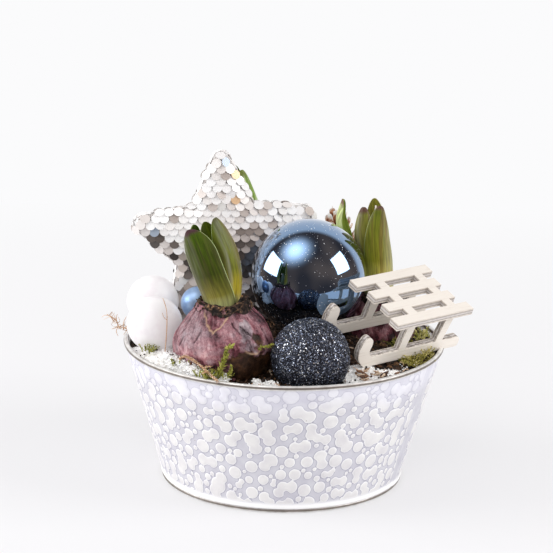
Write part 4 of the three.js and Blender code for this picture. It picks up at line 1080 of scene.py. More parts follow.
@dataclass
class Pot:
    """The embossed tin bowl: its wall, its rolled rim, its foot ring and the plain inside."""

    rim_radius: float = 100.0
    height: float = 86.5
    foot_radius: float = 74.4
    tin: float = 1.0
    bead: float = 1.6
    foot_band: float = 6.5
    emboss: float = 0.5
    foot_bead: float = 0.9
    foot_bead_height: float = 3.6
    foot_bead_reach: float = 1.1
    lap: float = 0.55
    drop_passes: tuple = ((1500, (3.1, 4.3), 3), (2500, (2.4, 3.4), 2), (5000, (1.7, 2.6), 1), (6000, (1.1, 1.7), 0))
    drop_gap: float = 0.85
    seam_angle: float = -24.0
    seam_width: float = 9.0
    columns: int = 880
    rows: int = 84
    lift: float = 1.8
    bend: float = 0.35

    @property
    def wall_top(self) -> float:
        """The height of the bead's middle."""
        return self.height - self.bead

    @property
    def round_length(self) -> float:
        """The wall's length round the pot, half way up."""
        return FULL_TURN * self.outer(self.height / 2)

    def outer(self, z: Number) -> Number:
        """Give the wall's outer radius at a height."""
        slope = (self.rim_radius - self.bead - self.foot_radius) / self.wall_top
        return self.foot_radius + slope * z

    def gaps(self, some: Array, others: Array) -> Array:
        """Give the distance of each drop's middle from each of the others', over the flattened wall.

        Args:
            some: Drops, one row each.
            others: The same.

        Returns:
            The distances, some by others.
        """
        across = some[:, None, 0] - others[None, :, 0]
        across = (across + self.round_length / 2) % self.round_length - self.round_length / 2
        return np.hypot(across, some[:, None, 1] - others[None, :, 1])

    def drops(self) -> list[Array]:
        """Scatter the drops over the flattened wall, some of them run together in chains.

        Returns:
            For each chain, the place round and up the wall and the radius of each of its drops, in millimetres.
        """
        random = np.random.default_rng(71)
        placed = np.zeros((0, 3))
        chains = []
        for tries, sizes, most in self.drop_passes:
            for _ in range(tries):
                at = [random.uniform(0, self.round_length), random.uniform(self.foot_band - 1, self.wall_top - 2)]
                chain = [(*at, random.uniform(*sizes))]
                heading = random.uniform(0, FULL_TURN)
                for _ in range(random.integers(0, most + 1)):
                    x, z, radius = chain[-1]
                    heading += random.uniform(-1.1, 1.1)
                    other = radius * random.uniform(0.75, 1.15)
                    step = (radius + other) * random.uniform(0.62, 0.8)
                    chain.append((x + step * math.cos(heading), z + step * math.sin(heading), other))
                fresh = np.array(chain)
                if (self.gaps(fresh, placed) > fresh[:, None, 2] + placed[None, :, 2] + self.drop_gap).all():
                    placed = np.vstack([placed, fresh])
                    chains.append(fresh)
        return self.grown(chains, placed)

    def grown(self, chains: list[Array], placed: Array) -> list[Array]:
        """Swell every drop until it nearly touches its neighbours.

        Args:
            chains: The drops of each chain.
            placed: The same drops, one row each.

        Returns:
            The chains with their new radii.
        """
        owner = np.repeat(np.arange(len(chains)), [len(chain) for chain in chains])
        away = self.gaps(placed, placed)
        away[owner[:, None] == owner[None]] = np.inf
        radii = placed[:, 2].copy()
        for _ in range(4):
            room = (away - radii[:, None] - radii[None]).min(axis=1) - self.drop_gap
            radii = np.minimum(radii + 0.5 * np.maximum(room, 0), placed[:, 2] * 1.45 + 0.35)
        ends = np.cumsum([len(chain) for chain in chains])
        return np.split(np.column_stack([placed[:, :2], radii]), ends[:-1])

    def edge_distance(self, around: Array, height: Array) -> Array:
        """Give each grid point's distance inside the nearest drop's edge, less than nought outside.

        Args:
            around: The grid's places round the flattened wall.
            height: The grid's heights.

        Returns:
            The distance in millimetres, heights by places.
        """
        found = np.full((len(height), len(around)), -3.0)
        step_x, step_z = around[1] - around[0], height[1] - height[0]
        for chain in self.drops():
            for a, b in list(zip(chain, chain[1:])) or [(chain[0], chain[0])]:
                reach = max(a[2], b[2]) + 2.2
                low, high = np.minimum(a, b)[:2] - reach, np.maximum(a, b)[:2] + reach
                columns = np.arange(int(low[0] // step_x), int(high[0] // step_x) + 2)
                rows = np.arange(max(0, int((low[1] - height[0]) // step_z)), len(height))
                rows = rows[height[rows] < high[1]]
                x, z = np.meshgrid(columns * step_x, height[rows])
                run = b[:2] - a[:2]
                share = np.clip(((x - a[0]) * run[0] + (z - a[1]) * run[1]) / max(run @ run, 1e-9), 0, 1)
                waist = 1 - 0.34 * np.sin(math.pi * share)
                away = np.hypot(x - a[0] - share * run[0], z - a[1] - share * run[1])
                spot = np.ix_(rows, columns % len(around))
                found[spot] = np.maximum(found[spot], mix(a[2], b[2], share) * waist - away)
        return found

    def wall(self) -> Piece:
        """Build the embossed outside of the wall with its plain foot band and lapped seam.

        Returns:
            The piece.
        """
        angle = steps_round(self.columns)
        z = np.linspace(2.7, self.wall_top + self.lift - 0.6, self.rows)
        edge = self.edge_distance(angle * self.outer(self.height / 2), z)
        angle, z = np.meshgrid(angle, z)
        seam = np.radians((np.degrees(angle) - self.seam_angle + 180) % 360 - 180) * self.outer(z)
        edge = np.where(np.abs(seam) < self.seam_width / 2, -3.0, edge)
        near_seam = smooth(self.seam_width / 2, self.seam_width / 2 + 2, np.abs(seam))
        band = smooth(self.foot_band - 1.5, self.foot_band + 1.2, z)
        top = 1 - smooth(self.wall_top - 7, self.wall_top - 1.5, z)
        faded = smooth(self.wall_top - 20, self.wall_top - 5, z + 7 * noise(join(angle * 90, 0, z), 26, 14))
        raised = smooth(-0.5, 0.9, edge) * self.emboss * band * mix(0.35, 1, top) * near_seam
        lap = self.lap * smooth(-0.7, 0.7, seam) * (1 - smooth(self.seam_width - 2, self.seam_width + 9, seam))
        sway = self.bend * np.sin(3 * angle + 0.8) * smooth(8, 50, z) * 0.3
        bead = self.foot_bead * peak(z - self.foot_bead_height, self.foot_bead_reach)
        radius = self.outer(z) + raised + bead + lap + sway - 0.25
        made = Cluster().add(
            polar(angle, radius, z), grid_faces(self.rows, self.columns, True),
            edge=np.where(band > 0.5, edge, -3), faded=faded, foot=1 - band,
        )
        return made.mesh("tin_wall", EnamelledTin("enamelled_tin"))

    def ring(self, name: str, profile: Array, wave: float, columns: int = 360) -> None:
        """Turn a closed outline round the pot's axis, and seat it.

        Args:
            name: The piece's name.
            profile: Radius and height of each of the outline's corners.
            wave: How far it strays from round, in millimetres.
            columns: How many steps the turn has.
        """
        angle = steps_round(columns)
        stray = wave * (np.sin(5 * angle + 1) + 0.6 * np.sin(11 * angle))
        points = polar(angle, profile[:, :1] + stray, profile[:, 1:] + 0.3 * stray)
        made = Cluster().add(points, grid_faces(len(profile), columns, True, True))
        seat(made.mesh(name, RolledZinc("rolled_zinc")), "zinc")

    def build(self) -> None:
        """Build and seat the wall, rim, foot ring and lining."""
        turn = np.radians(np.linspace(0, 360, 16, endpoint=False))
        rim_height = self.wall_top + self.lift
        rim = join(self.rim_radius - self.bead + self.bead * np.cos(turn), rim_height + self.bead * np.sin(turn))
        foot = join(self.foot_radius - 0.1 + 1.25 * np.cos(turn), 1.42 + 1.38 * np.sin(turn))
        heights = (2.5, 40, rim_height - 0.5)
        faces = ((self.tin, heights), (self.tin * 0.55, heights[::-1]))
        lining = np.array([[self.outer(z) - inset, z] for inset, levels in faces for z in levels])
        seat(self.wall(), "painted_tin", "pot_wall")
        self.ring("rolled_rim", rim, 0.12)
        self.ring("foot_ring", foot, 0.05)
        self.ring("tin_lining", lining, 0.0, 240)
        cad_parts["pot_base"].data.materials[0] = RolledZinc("rolled_zinc").material()


# What fills the pot.

# Snow grains lie a little flat.
FLAT_GRAIN = (1, 0.8, 0.6)


@dataclass
class Ground:
    """The potting mix, with the bark and peat that lie on it."""

    pot: Pot
    edge_height: float = 82.5
    mound: float = 8.0
    mound_centre: tuple = (15, 8)
    mound_reach: float = 33.0
    heaps: tuple = (((-70.5, 29), 11, 5.0), ((0, 40), 12, 1.5), ((33, 62), 16, 5.0), ((-76, -8), 17, 5.0))
    ripple: float = 0.35
    reach: float = 94.0
    crumbs: int = 2600
    fibres: int = 800

    def soil_top(self, x: Number, y: Number) -> Number:
        """Give the potting mix's height at a place.

        Args:
            x: Where, to the right.
            y: Where, to the back.

        Returns:
            The height in millimetres.
        """
        waves = np.sin(x * 0.21 + 1.3) * np.cos(y * 0.19) + 0.6 * np.sin(x * 0.11 - y * 0.16)
        raised = self.mound * bell(x, y, self.mound_centre, self.mound_reach)
        for centre, reach, height in self.heaps:
            raised = raised + height * bell(x, y, centre, reach)
        rim = np.clip((92 - np.hypot(x, y)) / 12, 0, 1)
        return self.edge_height + (raised + self.ripple * waves) * rim

    def inside(self, points: Array, spare: float = 1.4) -> Array:
        """Pull points that would pass through the tin back inside it.

        Args:
            points: The points.
            spare: The least gap to the tin.

        Returns:
            The points, moved.
        """
        reach, z = np.hypot(points[..., 0], points[..., 1]), points[..., 2]
        limit = self.pot.outer(np.minimum(z, self.pot.wall_top)) - self.pot.tin - spare
        scale = np.where(z > self.pot.height + 0.8, 1, np.minimum(1, limit / np.maximum(reach, 1e-6)))
        return points * join(scale, scale, 1)

    def soil(self) -> Piece:
        """Build the crumbled surface of the potting mix, closed below.

        Returns:
            The piece.
        """
        rings, spokes = 92, 220
        edge = self.pot.outer(self.edge_height) - self.pot.tin - 0.5
        flat = polar(steps_round(spokes), np.linspace(0.004, 1, rings)[:, None] * edge)
        crumbs = 1.1 * noise(flat, 3.1, 5) + 0.7 * noise(flat, 1.4, 6) + 0.8 * noise(flat, 8, 7)
        x, y, _ = np.moveaxis(flat, -1, 0)
        top = join(x, y, self.soil_top(x, y) + crumbs - 0.4)
        shrink = 1 - (self.pot.outer(12) - self.pot.outer(0)) / edge
        low = top[-1:] * [shrink, shrink, 0] + [0, 0, self.edge_height - 12]
        tone = np.vstack([0.42 + 0.25 * noise(flat, 2.2, 9), np.full(spokes, 0.3)])
        made = Cluster().add(np.concatenate([top, low]), closed(rings + 1, spokes), tone=tone)
        return made.mesh("soil_surface", SOIL_MIX)

    def strew(
        self, name: str, finish: Finish, slot: str, places: Array, sizes: tuple, seed: int,
        squash: tuple = (1, 1, 1), tones: tuple = (0.2, 0.8),
    ) -> None:
        """Strew crumbs of one kind, and seat them as one piece.

        Args:
            name: The piece's name.
            finish: Its finish.
            slot: Passed on to seat.
            places: Where each crumb lies, in millimetres.
            sizes: The smallest and largest crumb.
            seed: Picks their sizes and turns.
            squash: The crumb's proportions.
            tones: The darkest and lightest tone.
        """
        random = np.random.default_rng(seed)
        count = len(places)
        size = mix(*sizes, random.random(count) ** 2)
        turns = turned(random.normal(size=(count, 3)), random.uniform(0, FULL_TURN, count)) * size[:, None, None]
        shape, faces = (GRAIN, GRAIN_FACES) if finish == SNOW_FLOCK else (CRUMB, CRUMB_FACES)
        made = Cluster().copies(shape * np.array(squash), faces, turns, places, tone=random.uniform(*tones, count))
        seat(made.mesh(name, finish, is_smooth=False), slot)

    def build(self) -> None:
        """Build and seat the potting mix, and strew its bark, peat and fibre over it."""
        seat(self.soil(), "soil", "potting_soil")
        random = np.random.default_rng(31)
        radius = self.reach * np.sqrt(random.random(self.crumbs + self.fibres))
        x, y, _ = polar(random.uniform(0, FULL_TURN, len(radius)), radius).T
        places = self.inside(join(x, y, self.soil_top(x, y) + random.uniform(-0.6, 1.0, len(x))), 2.2)
        peat, bark = places[: self.crumbs], places[self.crumbs :]
        self.strew("peat_crumbs", SOIL_MIX, "soil", peat, (0.9, 4.2), 32, tones=(0.05, 0.8))
        thin = (1.3, 0.32, 0.22)
        self.strew("bark_fibres", PINE_BARK, "twig", bark, (1.0, 5.5), 33, thin, (0.15, 0.85))


@dataclass
class Snow:
    """One patch of artificial snow: a lumpy bed with loose grains."""

    name: str
    node: str
    ground: Ground
    seed: int
    centre: tuple
    size: tuple
    depth: float
    rough: float
    bank: tuple
    grains: int
    dirt: int = 40
    lumps: int = 26

    def peaks(self) -> list[tuple[Array, float]]:
        """Give the place and height of each lump.

        Returns:
            The place and the height of each.
        """
        random = draws(self.seed + 1)
        found = []
        for _ in range(self.lumps):
            angle, reach = next(random) * FULL_TURN, max(self.size) * math.sqrt(next(random))
            found.append((polar(angle, reach, 0, self.centre)[:2], self.rough * mix(0.4, 1, next(random))))
        return found

    def radius(self, angle: Number) -> Number:
        """Give the patch's radius in a direction.

        Args:
            angle: The direction in radians.

        Returns:
            The radius in millimetres.
        """
        random = draws(self.seed)
        phases = [next(random) * FULL_TURN for _ in range(3)]
        oval = 1 / np.hypot(np.cos(angle) / self.size[0], np.sin(angle) / self.size[1])
        return oval * (1 + 0.09 * np.sin(3 * angle + phases[0]) + 0.06 * np.sin(7 * angle + phases[1]))

    def top(self, x: Number, y: Number) -> Number:
        """Give the snow's height at a place.

        Args:
            x: Where, to the right.
            y: Where, to the back.

        Returns:
            The height in millimetres.
        """
        lump = np.zeros(np.shape(x))
        for at, rise in self.peaks():
            lump = np.maximum(lump, rise * bell(x, y, at, max(self.size) / 5))
        at, rise, reach = self.bank
        dx, dy = x - self.centre[0], y - self.centre[1]
        share = np.hypot(dx, dy) / self.radius(np.arctan2(dy, dx))
        fallen = self.depth + lump + rise * bell(x, y, at, reach)
        return self.ground.soil_top(x, y) + fallen * np.clip(1.08 - share**3, 0.0, 1) - 1.2 * (share > 0.97)

    def bed(self) -> Piece:
        """Build the lumpy bed, closed below.

        Returns:
            The piece.
        """
        rings, spokes = 64, 200
        share, angle = np.linspace(0.004, 1, rings)[:, None], steps_round(spokes)
        flat = polar(angle, share * self.radius(angle), 0, self.centre)
        frost = 0.55 * noise(flat, 2.4, self.seed) + 0.45 * noise(flat, 1.1, self.seed + 1)
        x, y, _ = np.moveaxis(flat, -1, 0)
        top = self.ground.inside(join(x, y, self.top(x, y) + frost * (1 - 0.8 * share**6)), 0.6)
        low = self.ground.inside(top[-1:] * [1, 1, 0] + [0, 0, self.ground.edge_height - 3], 0.8)
        tone = np.vstack([0.6 + 0.22 * noise(flat, 3, self.seed + 4), np.full(spokes, 0.5)])
        made = Cluster().add(np.concatenate([top, low]), closed(rings + 1, spokes), tone=tone)
        return made.mesh(self.name, SNOW_FLOCK)

    def build(self) -> None:
        """Build and seat the bed, its grains and a few dark specks."""
        seat(self.bed(), "snow", self.node)
        random = np.random.default_rng(self.seed + 50)
        turn = random.uniform(0, FULL_TURN, self.grains)
        out = np.sqrt(random.random(self.grains)) * self.radius(turn) * 1.04
        x, y, _ = polar(turn, out, 0, self.centre).T
        places = join(x, y, np.maximum(self.top(x, y), self.ground.soil_top(x, y)) + 0.3)
        places = self.ground.inside(places, 1.6)
        strew, seed = self.ground.strew, self.seed
        strew(f"{self.name}_grains", SNOW_FLOCK, "snow", places, (0.6, 2.0), seed + 60, FLAT_GRAIN, (0.55, 1.0))
        specks = places[:: self.grains // self.dirt] + [0, 0, 0.4]
        strew(f"{self.name}_specks", SOIL_MIX, "soil", specks, (0.6, 2.6), seed + 61)


# The hyacinths.


@dataclass
class Leaf:
    """One blade: which way it faces, the line that it follows, its sizes and its skin."""

    facing: float
    path: tuple
    half_width: float
    tip_length: float
    cup: float
    skin: LeafSkin
    twist: float = 0.0


@dataclass
class Hyacinth:
    """A forced hyacinth: bulb, dried neck, leaves and closed flower bud."""

    name: str
    axis: tuple
    equator: float
    radius: float
    neck_radius: float
    neck_height: float
    base: float
    lobes: float
    seed: int
    bud: tuple
    leaves: tuple
    is_front: bool = False
    taper: float = 0.72
    foot_depth: float = 6.7
    blade: tuple = (1.7, 1.1)
    margin: float = 0.62
    tip_half_width: float = 0.55
    creases: tuple = (
        (-152, 112, -157, 107.5), (-147, 107, -152, 101.5), (-122, 111, -127, 106), (-75, 117.5, -66, 112),
        (-63, 115.5, -52, 111.5), (-60, 113.5, -51, 110), (-30, 114, -24, 105),
    )

    def bulb_radius(self, z: Array) -> Array:
        """Give the bulb's radius at a height, before its lobes.

        Args:
            z: The height.

        Returns:
            The radius in millimetres.
        """
        belly = self.equator - self.base
        shoulder = (self.neck_height - self.equator) * 0.97
        dip = np.arcsin(np.clip((z - self.equator) / (belly * 0.92), -0.97, 0))
        below = np.cos(dip) ** self.taper * self.radius
        share = np.clip((z - self.equator) / shoulder, 0, 1)
        above = mix(self.neck_radius + 2.6, self.radius, np.cos(share * math.pi / 2) ** 1.2)
        return np.where(z < self.equator, below, above)

    def swell(self, angle: Array, z: Array) -> Array:
        """Give how much the bulb's lobes widen it, as a factor.

        Args:
            angle: The direction in radians.
            z: The height.

        Returns:
            The factor.
        """
        random = draws(self.seed)
        phases = [next(random) * FULL_TURN for _ in range(3)]
        high = np.clip((self.neck_height - z) / (self.neck_height - self.equator), 0, 1)
        waves = np.sin(2 * angle + phases[0]) + 0.6 * np.sin(3 * angle + phases[1] + z * 0.06)
        return 1 + self.lobes * high * (waves + 0.35 * np.sin(9 * angle + phases[2]))

    def bulb_marks(self, angle: Array, z: Array) -> dict[str, Array]:
        """Place the bared patch, the torn silver skin, the tan edges and the creases, which are darkened as painted
        shade.

        Args:
            angle: Each point's direction from the axis, in degrees from -180 to 180.
            z: Each point's height.

        Returns:
            The share of each mark at each point, and how far the skin is lifted there.
        """
        spot = polar(np.radians(angle), self.radius, z)
        ragged, fine = noise(spot, 4, self.seed + 3), noise(spot, 1.7, self.seed + 4)
        drift = angle + 16 * ragged + 5 * fine
        lift = z + 3.5 * ragged + 1.2 * fine
        if not self.is_front:
            bared = smooth(0.35, 0.55, ragged) * smooth(self.equator + 4, self.equator - 2, z)
            silver = 0.4 * smooth(0.1, 0.6, noise(spot, 7, self.seed + 8))
            return {"bared": bared, "silver": silver, "tan": 0 * z, "blush": ragged - 0.3, "lift": 0 * z}

        def spread(turn: float, height: float, wide: float, tall: float) -> Array:
            """Give a soft oval spot's strength, its centre and reach in degrees and millimetres."""
            return np.exp(-(((angle + 8 * ragged - turn) / wide) ** 2) - ((lift - height) / tall) ** 2)

        dark_top = 101.3 - 0.0016 * (drift + 52) ** 2
        bared = smooth(dark_top + 1.2, dark_top - 1.4, lift) * smooth(-90, -79, drift) * smooth(8, -6, drift)
        hole = smooth(1.1, 0.75, np.hypot((angle + 42) / 7.5, (z - 107.6 + 0.16 * (angle + 42)) / 4.0) + 0.3 * fine)
        torn = np.maximum(
            smooth(1.15, 0.8, np.hypot((angle + 57) / 11, (lift - 113) / 5.0)),
            0.7 * smooth(1.15, 0.8, np.hypot((angle + 55) / 8, (lift - 105) / 3.4)),
        ) * (1 - hole)
        silver = np.clip(0.9 * torn + 0.6 * spread(-138, 111, 34, 9) + 0.2 * smooth(0.1, 0.6, ragged), 0, 1)
        spots = (
            (1.0, -122, 98.5, 26, 5.5), (0.5, -86, 107, 13, 5), (0.5, -20, 108, 13, 6), (0.5, -48, 119, 20, 4),
            (-0.9, -76, 100.5, 9, 6), (-1.1, -106, 92, 30, 3.6), (-1.0, -14, 117, 16, 5),
        )
        blush = sum(strength * spread(*where) for strength, *where in spots) - 0.05
        flap = np.abs(angle + 104) / 26
        edge_height = 112.6 + 9.8 * flap**1.15 + 1.1 * fine
        on_flap = smooth(1.2, 0.95, flap)
        step = smooth(0.8, -0.4, z - edge_height) * on_flap * smooth(10, 3, edge_height - z)
        upper = 0.85 * smooth(0.5, -0.6, edge_height - z) * on_flap * smooth(1.0, 0.7, flap)
        crescent = peak(z - 100.4 - 0.021 * (angle + 52) ** 2 - 0.4 * fine, 0.6) * smooth(13, 9, np.abs(angle + 52))
        tan = np.maximum(0.9 * peak(z - edge_height, 0.55) * on_flap, 0.8 * crescent)
        degree = math.radians(self.radius)
        crease = np.zeros(len(z))
        for a0, z0, a1, z1 in self.creases:
            across, rise = (a1 - a0) * degree, z1 - z0
            over, up = (angle - a0) * degree, z + 0.8 * fine - z0
            share = np.clip((over * across + up * rise) / (across**2 + rise**2), 0, 1)
            crease = np.maximum(crease, peak(np.hypot(over - share * across, up - share * rise), 0.5))
        bared = np.maximum(np.maximum(bared, hole), 0.55 * upper * smooth(119, 123, z))
        lifted = 0.7 * step + 0.5 * torn + 0.5 * crescent - 0.8 * crease
        # The creases are dented in, and blush is lowered along them as painted shade in the creases.
        return {
            "bared": bared, "silver": silver * (1 - upper), "tan": tan, "blush": blush - 1.2 * crease, "lift": lifted
        }

    def bulb(self) -> Piece:
        """Build the bulb with its lobes, wrinkles and torn layers.

        Returns:
            The piece.
        """
        rows, columns = (150, 320) if self.is_front else (72, 160)
        foot, lip = self.base + 1.0, self.neck_height + 0.6
        heights = np.concatenate([[self.base - 0.5], np.linspace(foot, lip, rows - 2), [lip + 0.4]])
        angle, z = (grid.ravel() for grid in np.meshgrid(steps_round(columns) - math.pi, heights))
        marks = self.bulb_marks(np.degrees(angle), z)
        twist = angle + (z - self.equator) * 0.02 * (0.55 + 0.16 * np.sin(2 * angle))
        grain = polar(twist, self.radius, z * 0.22)
        skew = grain + join(0, 0, 0.3 * z + 5 * noise(grain, 9, self.seed + 5))
        # fold dents and swells the skin, and the tunic colours it as painted shade in the valleys and painted light
        # on the ridges.
        fold = 0.9 - 2 * np.abs(noise(skew, 6.0, self.seed + 1)) - np.abs(noise(skew, 2.8, self.seed + 2))
        fold = fold + 0.35 * noise(grain, 1.3, self.seed + 6)
        shoulder = 2.2 * self.is_front * np.exp(-(((np.degrees(angle) + 12) / 34) ** 2) - ((z - 115) / 5) ** 2)
        radius = self.bulb_radius(z) * self.swell(angle, z) + shoulder + 0.6 * fold * (1 - 0.7 * marks["bared"])
        radius = radius + marks.pop("lift") - 0.9 * marks["bared"]
        at_top = np.clip((z - lip) / 0.4, 0, 1)
        radius = np.where(z < foot, self.radius * 0.3, radius) * (1 - 0.22 * at_top)
        made = Cluster().add(
            polar(angle, radius, z, self.axis), closed(rows, columns), **marks, fold=fold, grain=grain * MM
        )
        return made.mesh(f"{self.name}_tunic", BulbTunic("dry_bulb_tunic"))

    def crust(self, made: Cluster) -> None:
        """Wrap the leaves' feet in the ragged dark skin of the old neck.

        Args:
            made: What it is added to.
        """
        columns = 240 if self.is_front else 80
        share, angle = np.meshgrid(np.linspace(0, 1, 20), np.linspace(-math.pi, math.pi, columns), indexing="ij")
        turn = np.degrees(angle)
        flap = self.is_front * 7.0 * peak(turn + 36, 15)
        foot = self.neck_height - 2.2 + self.is_front * (1.6 * peak(turn + 128, 18) - 1.7 * peak(turn + 95, 18))
        z = mix(foot, self.neck_height + 2.0 + flap, share)
        round_it = polar(angle, 12, z * 1.2)
        ragged, fine = noise(round_it, 2.6, self.seed + 20), noise(round_it, 0.7, self.seed + 21)
        z = z + (2.4 * ragged + 0.7 * fine) * (1 - 0.5 * share)
        reach = np.maximum(self.bulb_radius(z) * self.swell(angle, z), self.neck_radius + 2.8)
        reach = reach + mix(0.9, -0.8, share) + 0.7 * ragged + 0.4 * fine
        sides = plate(polar(angle, reach, z, self.axis), polar(angle, reach - 1.4, z, self.axis))
        made.add(*sides, tone=np.tile((0.22 + 0.5 * fine + 0.3 * ragged).ravel(), 2))

    def neck(self) -> Piece:
        """Build the withered fibres and shreds round the leaves.

        Returns:
            The piece.
        """
        random = np.random.default_rng(self.seed + 7)
        made = Cluster()
        self.crust(made)
        share = np.linspace(0, 1, 5)[:, None]
        for _ in range(300 if self.is_front else 110):
            angle, out = random.uniform(0, FULL_TURN), random.uniform(-2.6, 1.4)
            length, wide = random.uniform(1.8, 5.6), random.uniform(0.5, 1.8)
            foot = self.neck_height + random.uniform(-4.2, 1.2)
            start, way = polar(angle, self.neck_radius + 1.4 + out, foot, self.axis), polar(angle)
            slip = polar(angle + math.pi / 2) * random.choice([-1, 1])
            lean = slip * random.uniform(0.3, 1.0) + way * random.uniform(-0.3, 0.16)
            heading = unit(lean + [0, 0, random.uniform(-0.35, 0.75)])
            bow = way * random.uniform(-0.8, 1.4)
            spine = start + heading * length * share + bow * (share * (1 - share)) * 2
            width = wide * (0.35 + np.sin(math.pi * np.clip(share * 0.9 + 0.08, 0, 1))) / 2
            side = unit(np.cross(heading, way + 0.4 * random.normal(size=3)))
            front = np.stack([spine - side * width, spine + side * width], axis=1)
            tone = random.choice([0.12, 0.3, 0.42, 0.62, 0.85], p=[0.25, 0.28, 0.2, 0.17, 0.1])
            made.add(*plate(front + way * 0.16, front - way * 0.16), tone=tone)
        return made.mesh(f"{self.name}_neck", DRY_NECK, is_smooth=False)

    def leaf(self, number: int, leaf: Leaf) -> Piece:
        """Build one blade, cupped round the plant's axis.

        Args:
            number: Its number in the plant.
            leaf: Its shape and skin.

        Returns:
            The piece.
        """
        rows, columns = 64, 29
        foot, *rest = leaf.path
        path = Path([(*foot, self.neck_height - self.foot_depth), (*foot, self.neck_height + 2), *rest])
        ring = math.hypot(foot[0] - self.axis[0], foot[1] - self.axis[1])
        foot_arc = math.asin(min(max(leaf.half_width / ring, 0), 0.92))
        share = 1 - (1 - np.linspace(0, 1, rows)) ** 1.6
        centre, along = path.at(share), path.along(share)
        out = polar(np.radians(leaf.facing + leaf.twist * share**2))
        normal = unit(out - along * (along * out).sum(axis=1)[:, None])
        side = np.cross(along, normal)[:, None]
        left = np.clip((1 - share) * path.length / leaf.tip_length, 0, 1)
        half = mix(self.tip_half_width, leaf.half_width, (1 - (1 - left) ** 2) ** 0.62)
        arc = mix(foot_arc, math.radians(leaf.cup), np.minimum(1, share * 1.6))
        across = np.linspace(-1, 1, columns)
        angle = (across[None] * arc[:, None])[..., None]
        normal = normal[:, None]
        outward = normal * np.cos(angle) + side * np.sin(angle)
        middle = centre[:, None] + (outward - normal) * (half / np.sin(arc))[:, None, None]
        thick = mix(mix(*self.blade, share)[:, None], self.margin, np.abs(across)[None] ** 1.5) / 2
        veins = 0.07 * np.sin(across * 30)[None] * np.sin(math.pi * share)[:, None]
        keel = 0.35 * peak(across, 0.16)[None] * smooth(0.1, 0.5, share)[:, None]
        points, faces = plate(
            middle + outward * (thick + veins * 0.7 + keel * 0.3)[..., None],
            middle - outward * (thick + veins * 0.5 - keel * 0.2)[..., None],
        )
        grain = join(across * half[:, None], 0.06 * share[:, None] * path.length, 9.0 * number) * MM
        grid_share, grid_across = np.meshgrid(share, across, indexing="ij")
        made = Cluster().add(
            points, faces, along=np.tile(grid_share.ravel(), 2), across=np.tile(grid_across.ravel(), 2),
            outer=np.repeat([1.0, 0.0], rows * columns), grain=np.stack([grain, grain]),
        )
        return made.mesh(f"{self.name}_blade_{number}", leaf.skin)

    def flower_bud(self) -> Piece:
        """Build the closed spike of florets.

        Returns:
            The piece.
        """
        radius, top, lean = self.bud
        rows, columns = 60, 48
        share, angle = np.linspace(0, 1, rows)[:, None], steps_round(columns)
        z = mix(self.neck_height - self.foot_depth, top, share)
        girth = radius * np.sin(math.pi * mix(0.3, 0.985, share)) ** 0.8
        floret = 1 + 0.10 * np.sin(5 * angle + z * 1.1) * np.sin(z * 0.75) + 0.04 * np.sin(11 * angle)
        points = polar(angle, girth * floret, z, self.axis) + join(*lean, 0) * share[..., None] ** 2
        made = Cluster().add(points, closed(rows, columns), tone=0.25 + 0.6 * share**2 + 0 * angle)
        return made.mesh(f"{self.name}_florets", FLOWER_BUD)

    def build(self) -> None:
        """Build and seat the bulb, neck, leaves and bud."""
        seat(self.bulb(), "bulb", f"{self.name}_bulb")
        seat(self.neck(), "bulb")
        for number, leaf in enumerate(self.leaves, 1):
            seat(self.leaf(number, leaf), "leaf", f"{self.name}_leaf_{number}")
        seat(self.flower_bud(), "bud", f"{self.name}_bud")


def front_hyacinth() -> Hyacinth:
    """Give the plant at the front left, whose bulb shows.

    Returns:
        The plant, ready to build.
    """
    return Hyacinth(
        "hyacinth_a", (-36.4, -50.4), 99, 30.2, 13.6, 124.5, 76, 0.03, 11, (5.2, 148, (-3, 1)),
        (
            Leaf(
                -112,
                ((-40.9, -61.1), (-45.8, -61.8, 141), (-49.6, -60.6, 151), (-53.8, -58.4, 161), (-58.2, -56, 170.8)),
                10.4, 19, 50,
                LeafSkin(
                    "leaf_green_with_grey_edge", base="#8F8636", middle="#3D460A", tip="#445C04", left="#5C5A34",
                    left_share=0.7, right="#47560E", right_share=0.5, streak="#54492E", streak_share=0.35,
                    bloom_side=-0.75, bloom_share=0.2, blush="#4A3234", blush_from=0.93, inside="#55701A",
                ),
            ),
            Leaf(
                -48,
                ((-30.2, -57), (-29.9, -55.4, 142), (-32.8, -53.4, 156), (-37.6, -51.2, 167.5), (-42.6, -49.5, 177)),
                9.4, 36, 52,
                LeafSkin(
                    "leaf_olive_turning_yellow", base="#C2AE26", middle="#6E7216", tip="#5C6616", left="#4E5C12",
                    left_share=0.5, right="#8A6E22", right_share=0.6, streak="#5E5230", streak_share=0.4,
                    bloom_side=-0.1, bloom_share=0.3, blush="#5A5A3A", blush_from=0.96,
                ),
            ),
            Leaf(
                110,
                ((-40.2, -39.9), (-41.6, -37.6, 144), (-44.8, -37.4, 157), (-49.2, -38.6, 171.5)), 7.4, 22, 40,
                LeafSkin("leaf_dark_inside", inside="#4A5610", blush="#8C8A6E"),
            ),
            Leaf(
                176, ((-45.2, -49.8), (-50.6, -49, 146), (-56.2, -48.2, 162), (-55, -47.6, 172)), 5.6, 12, 66,
                LeafSkin("leaf_pale_strip", middle="#A9B878", tip="#B9C390", inside="#3E5210", blush="#6A7A3A"),
                -50,
            ),
        ),
        is_front=True, taper=0.35,
    )


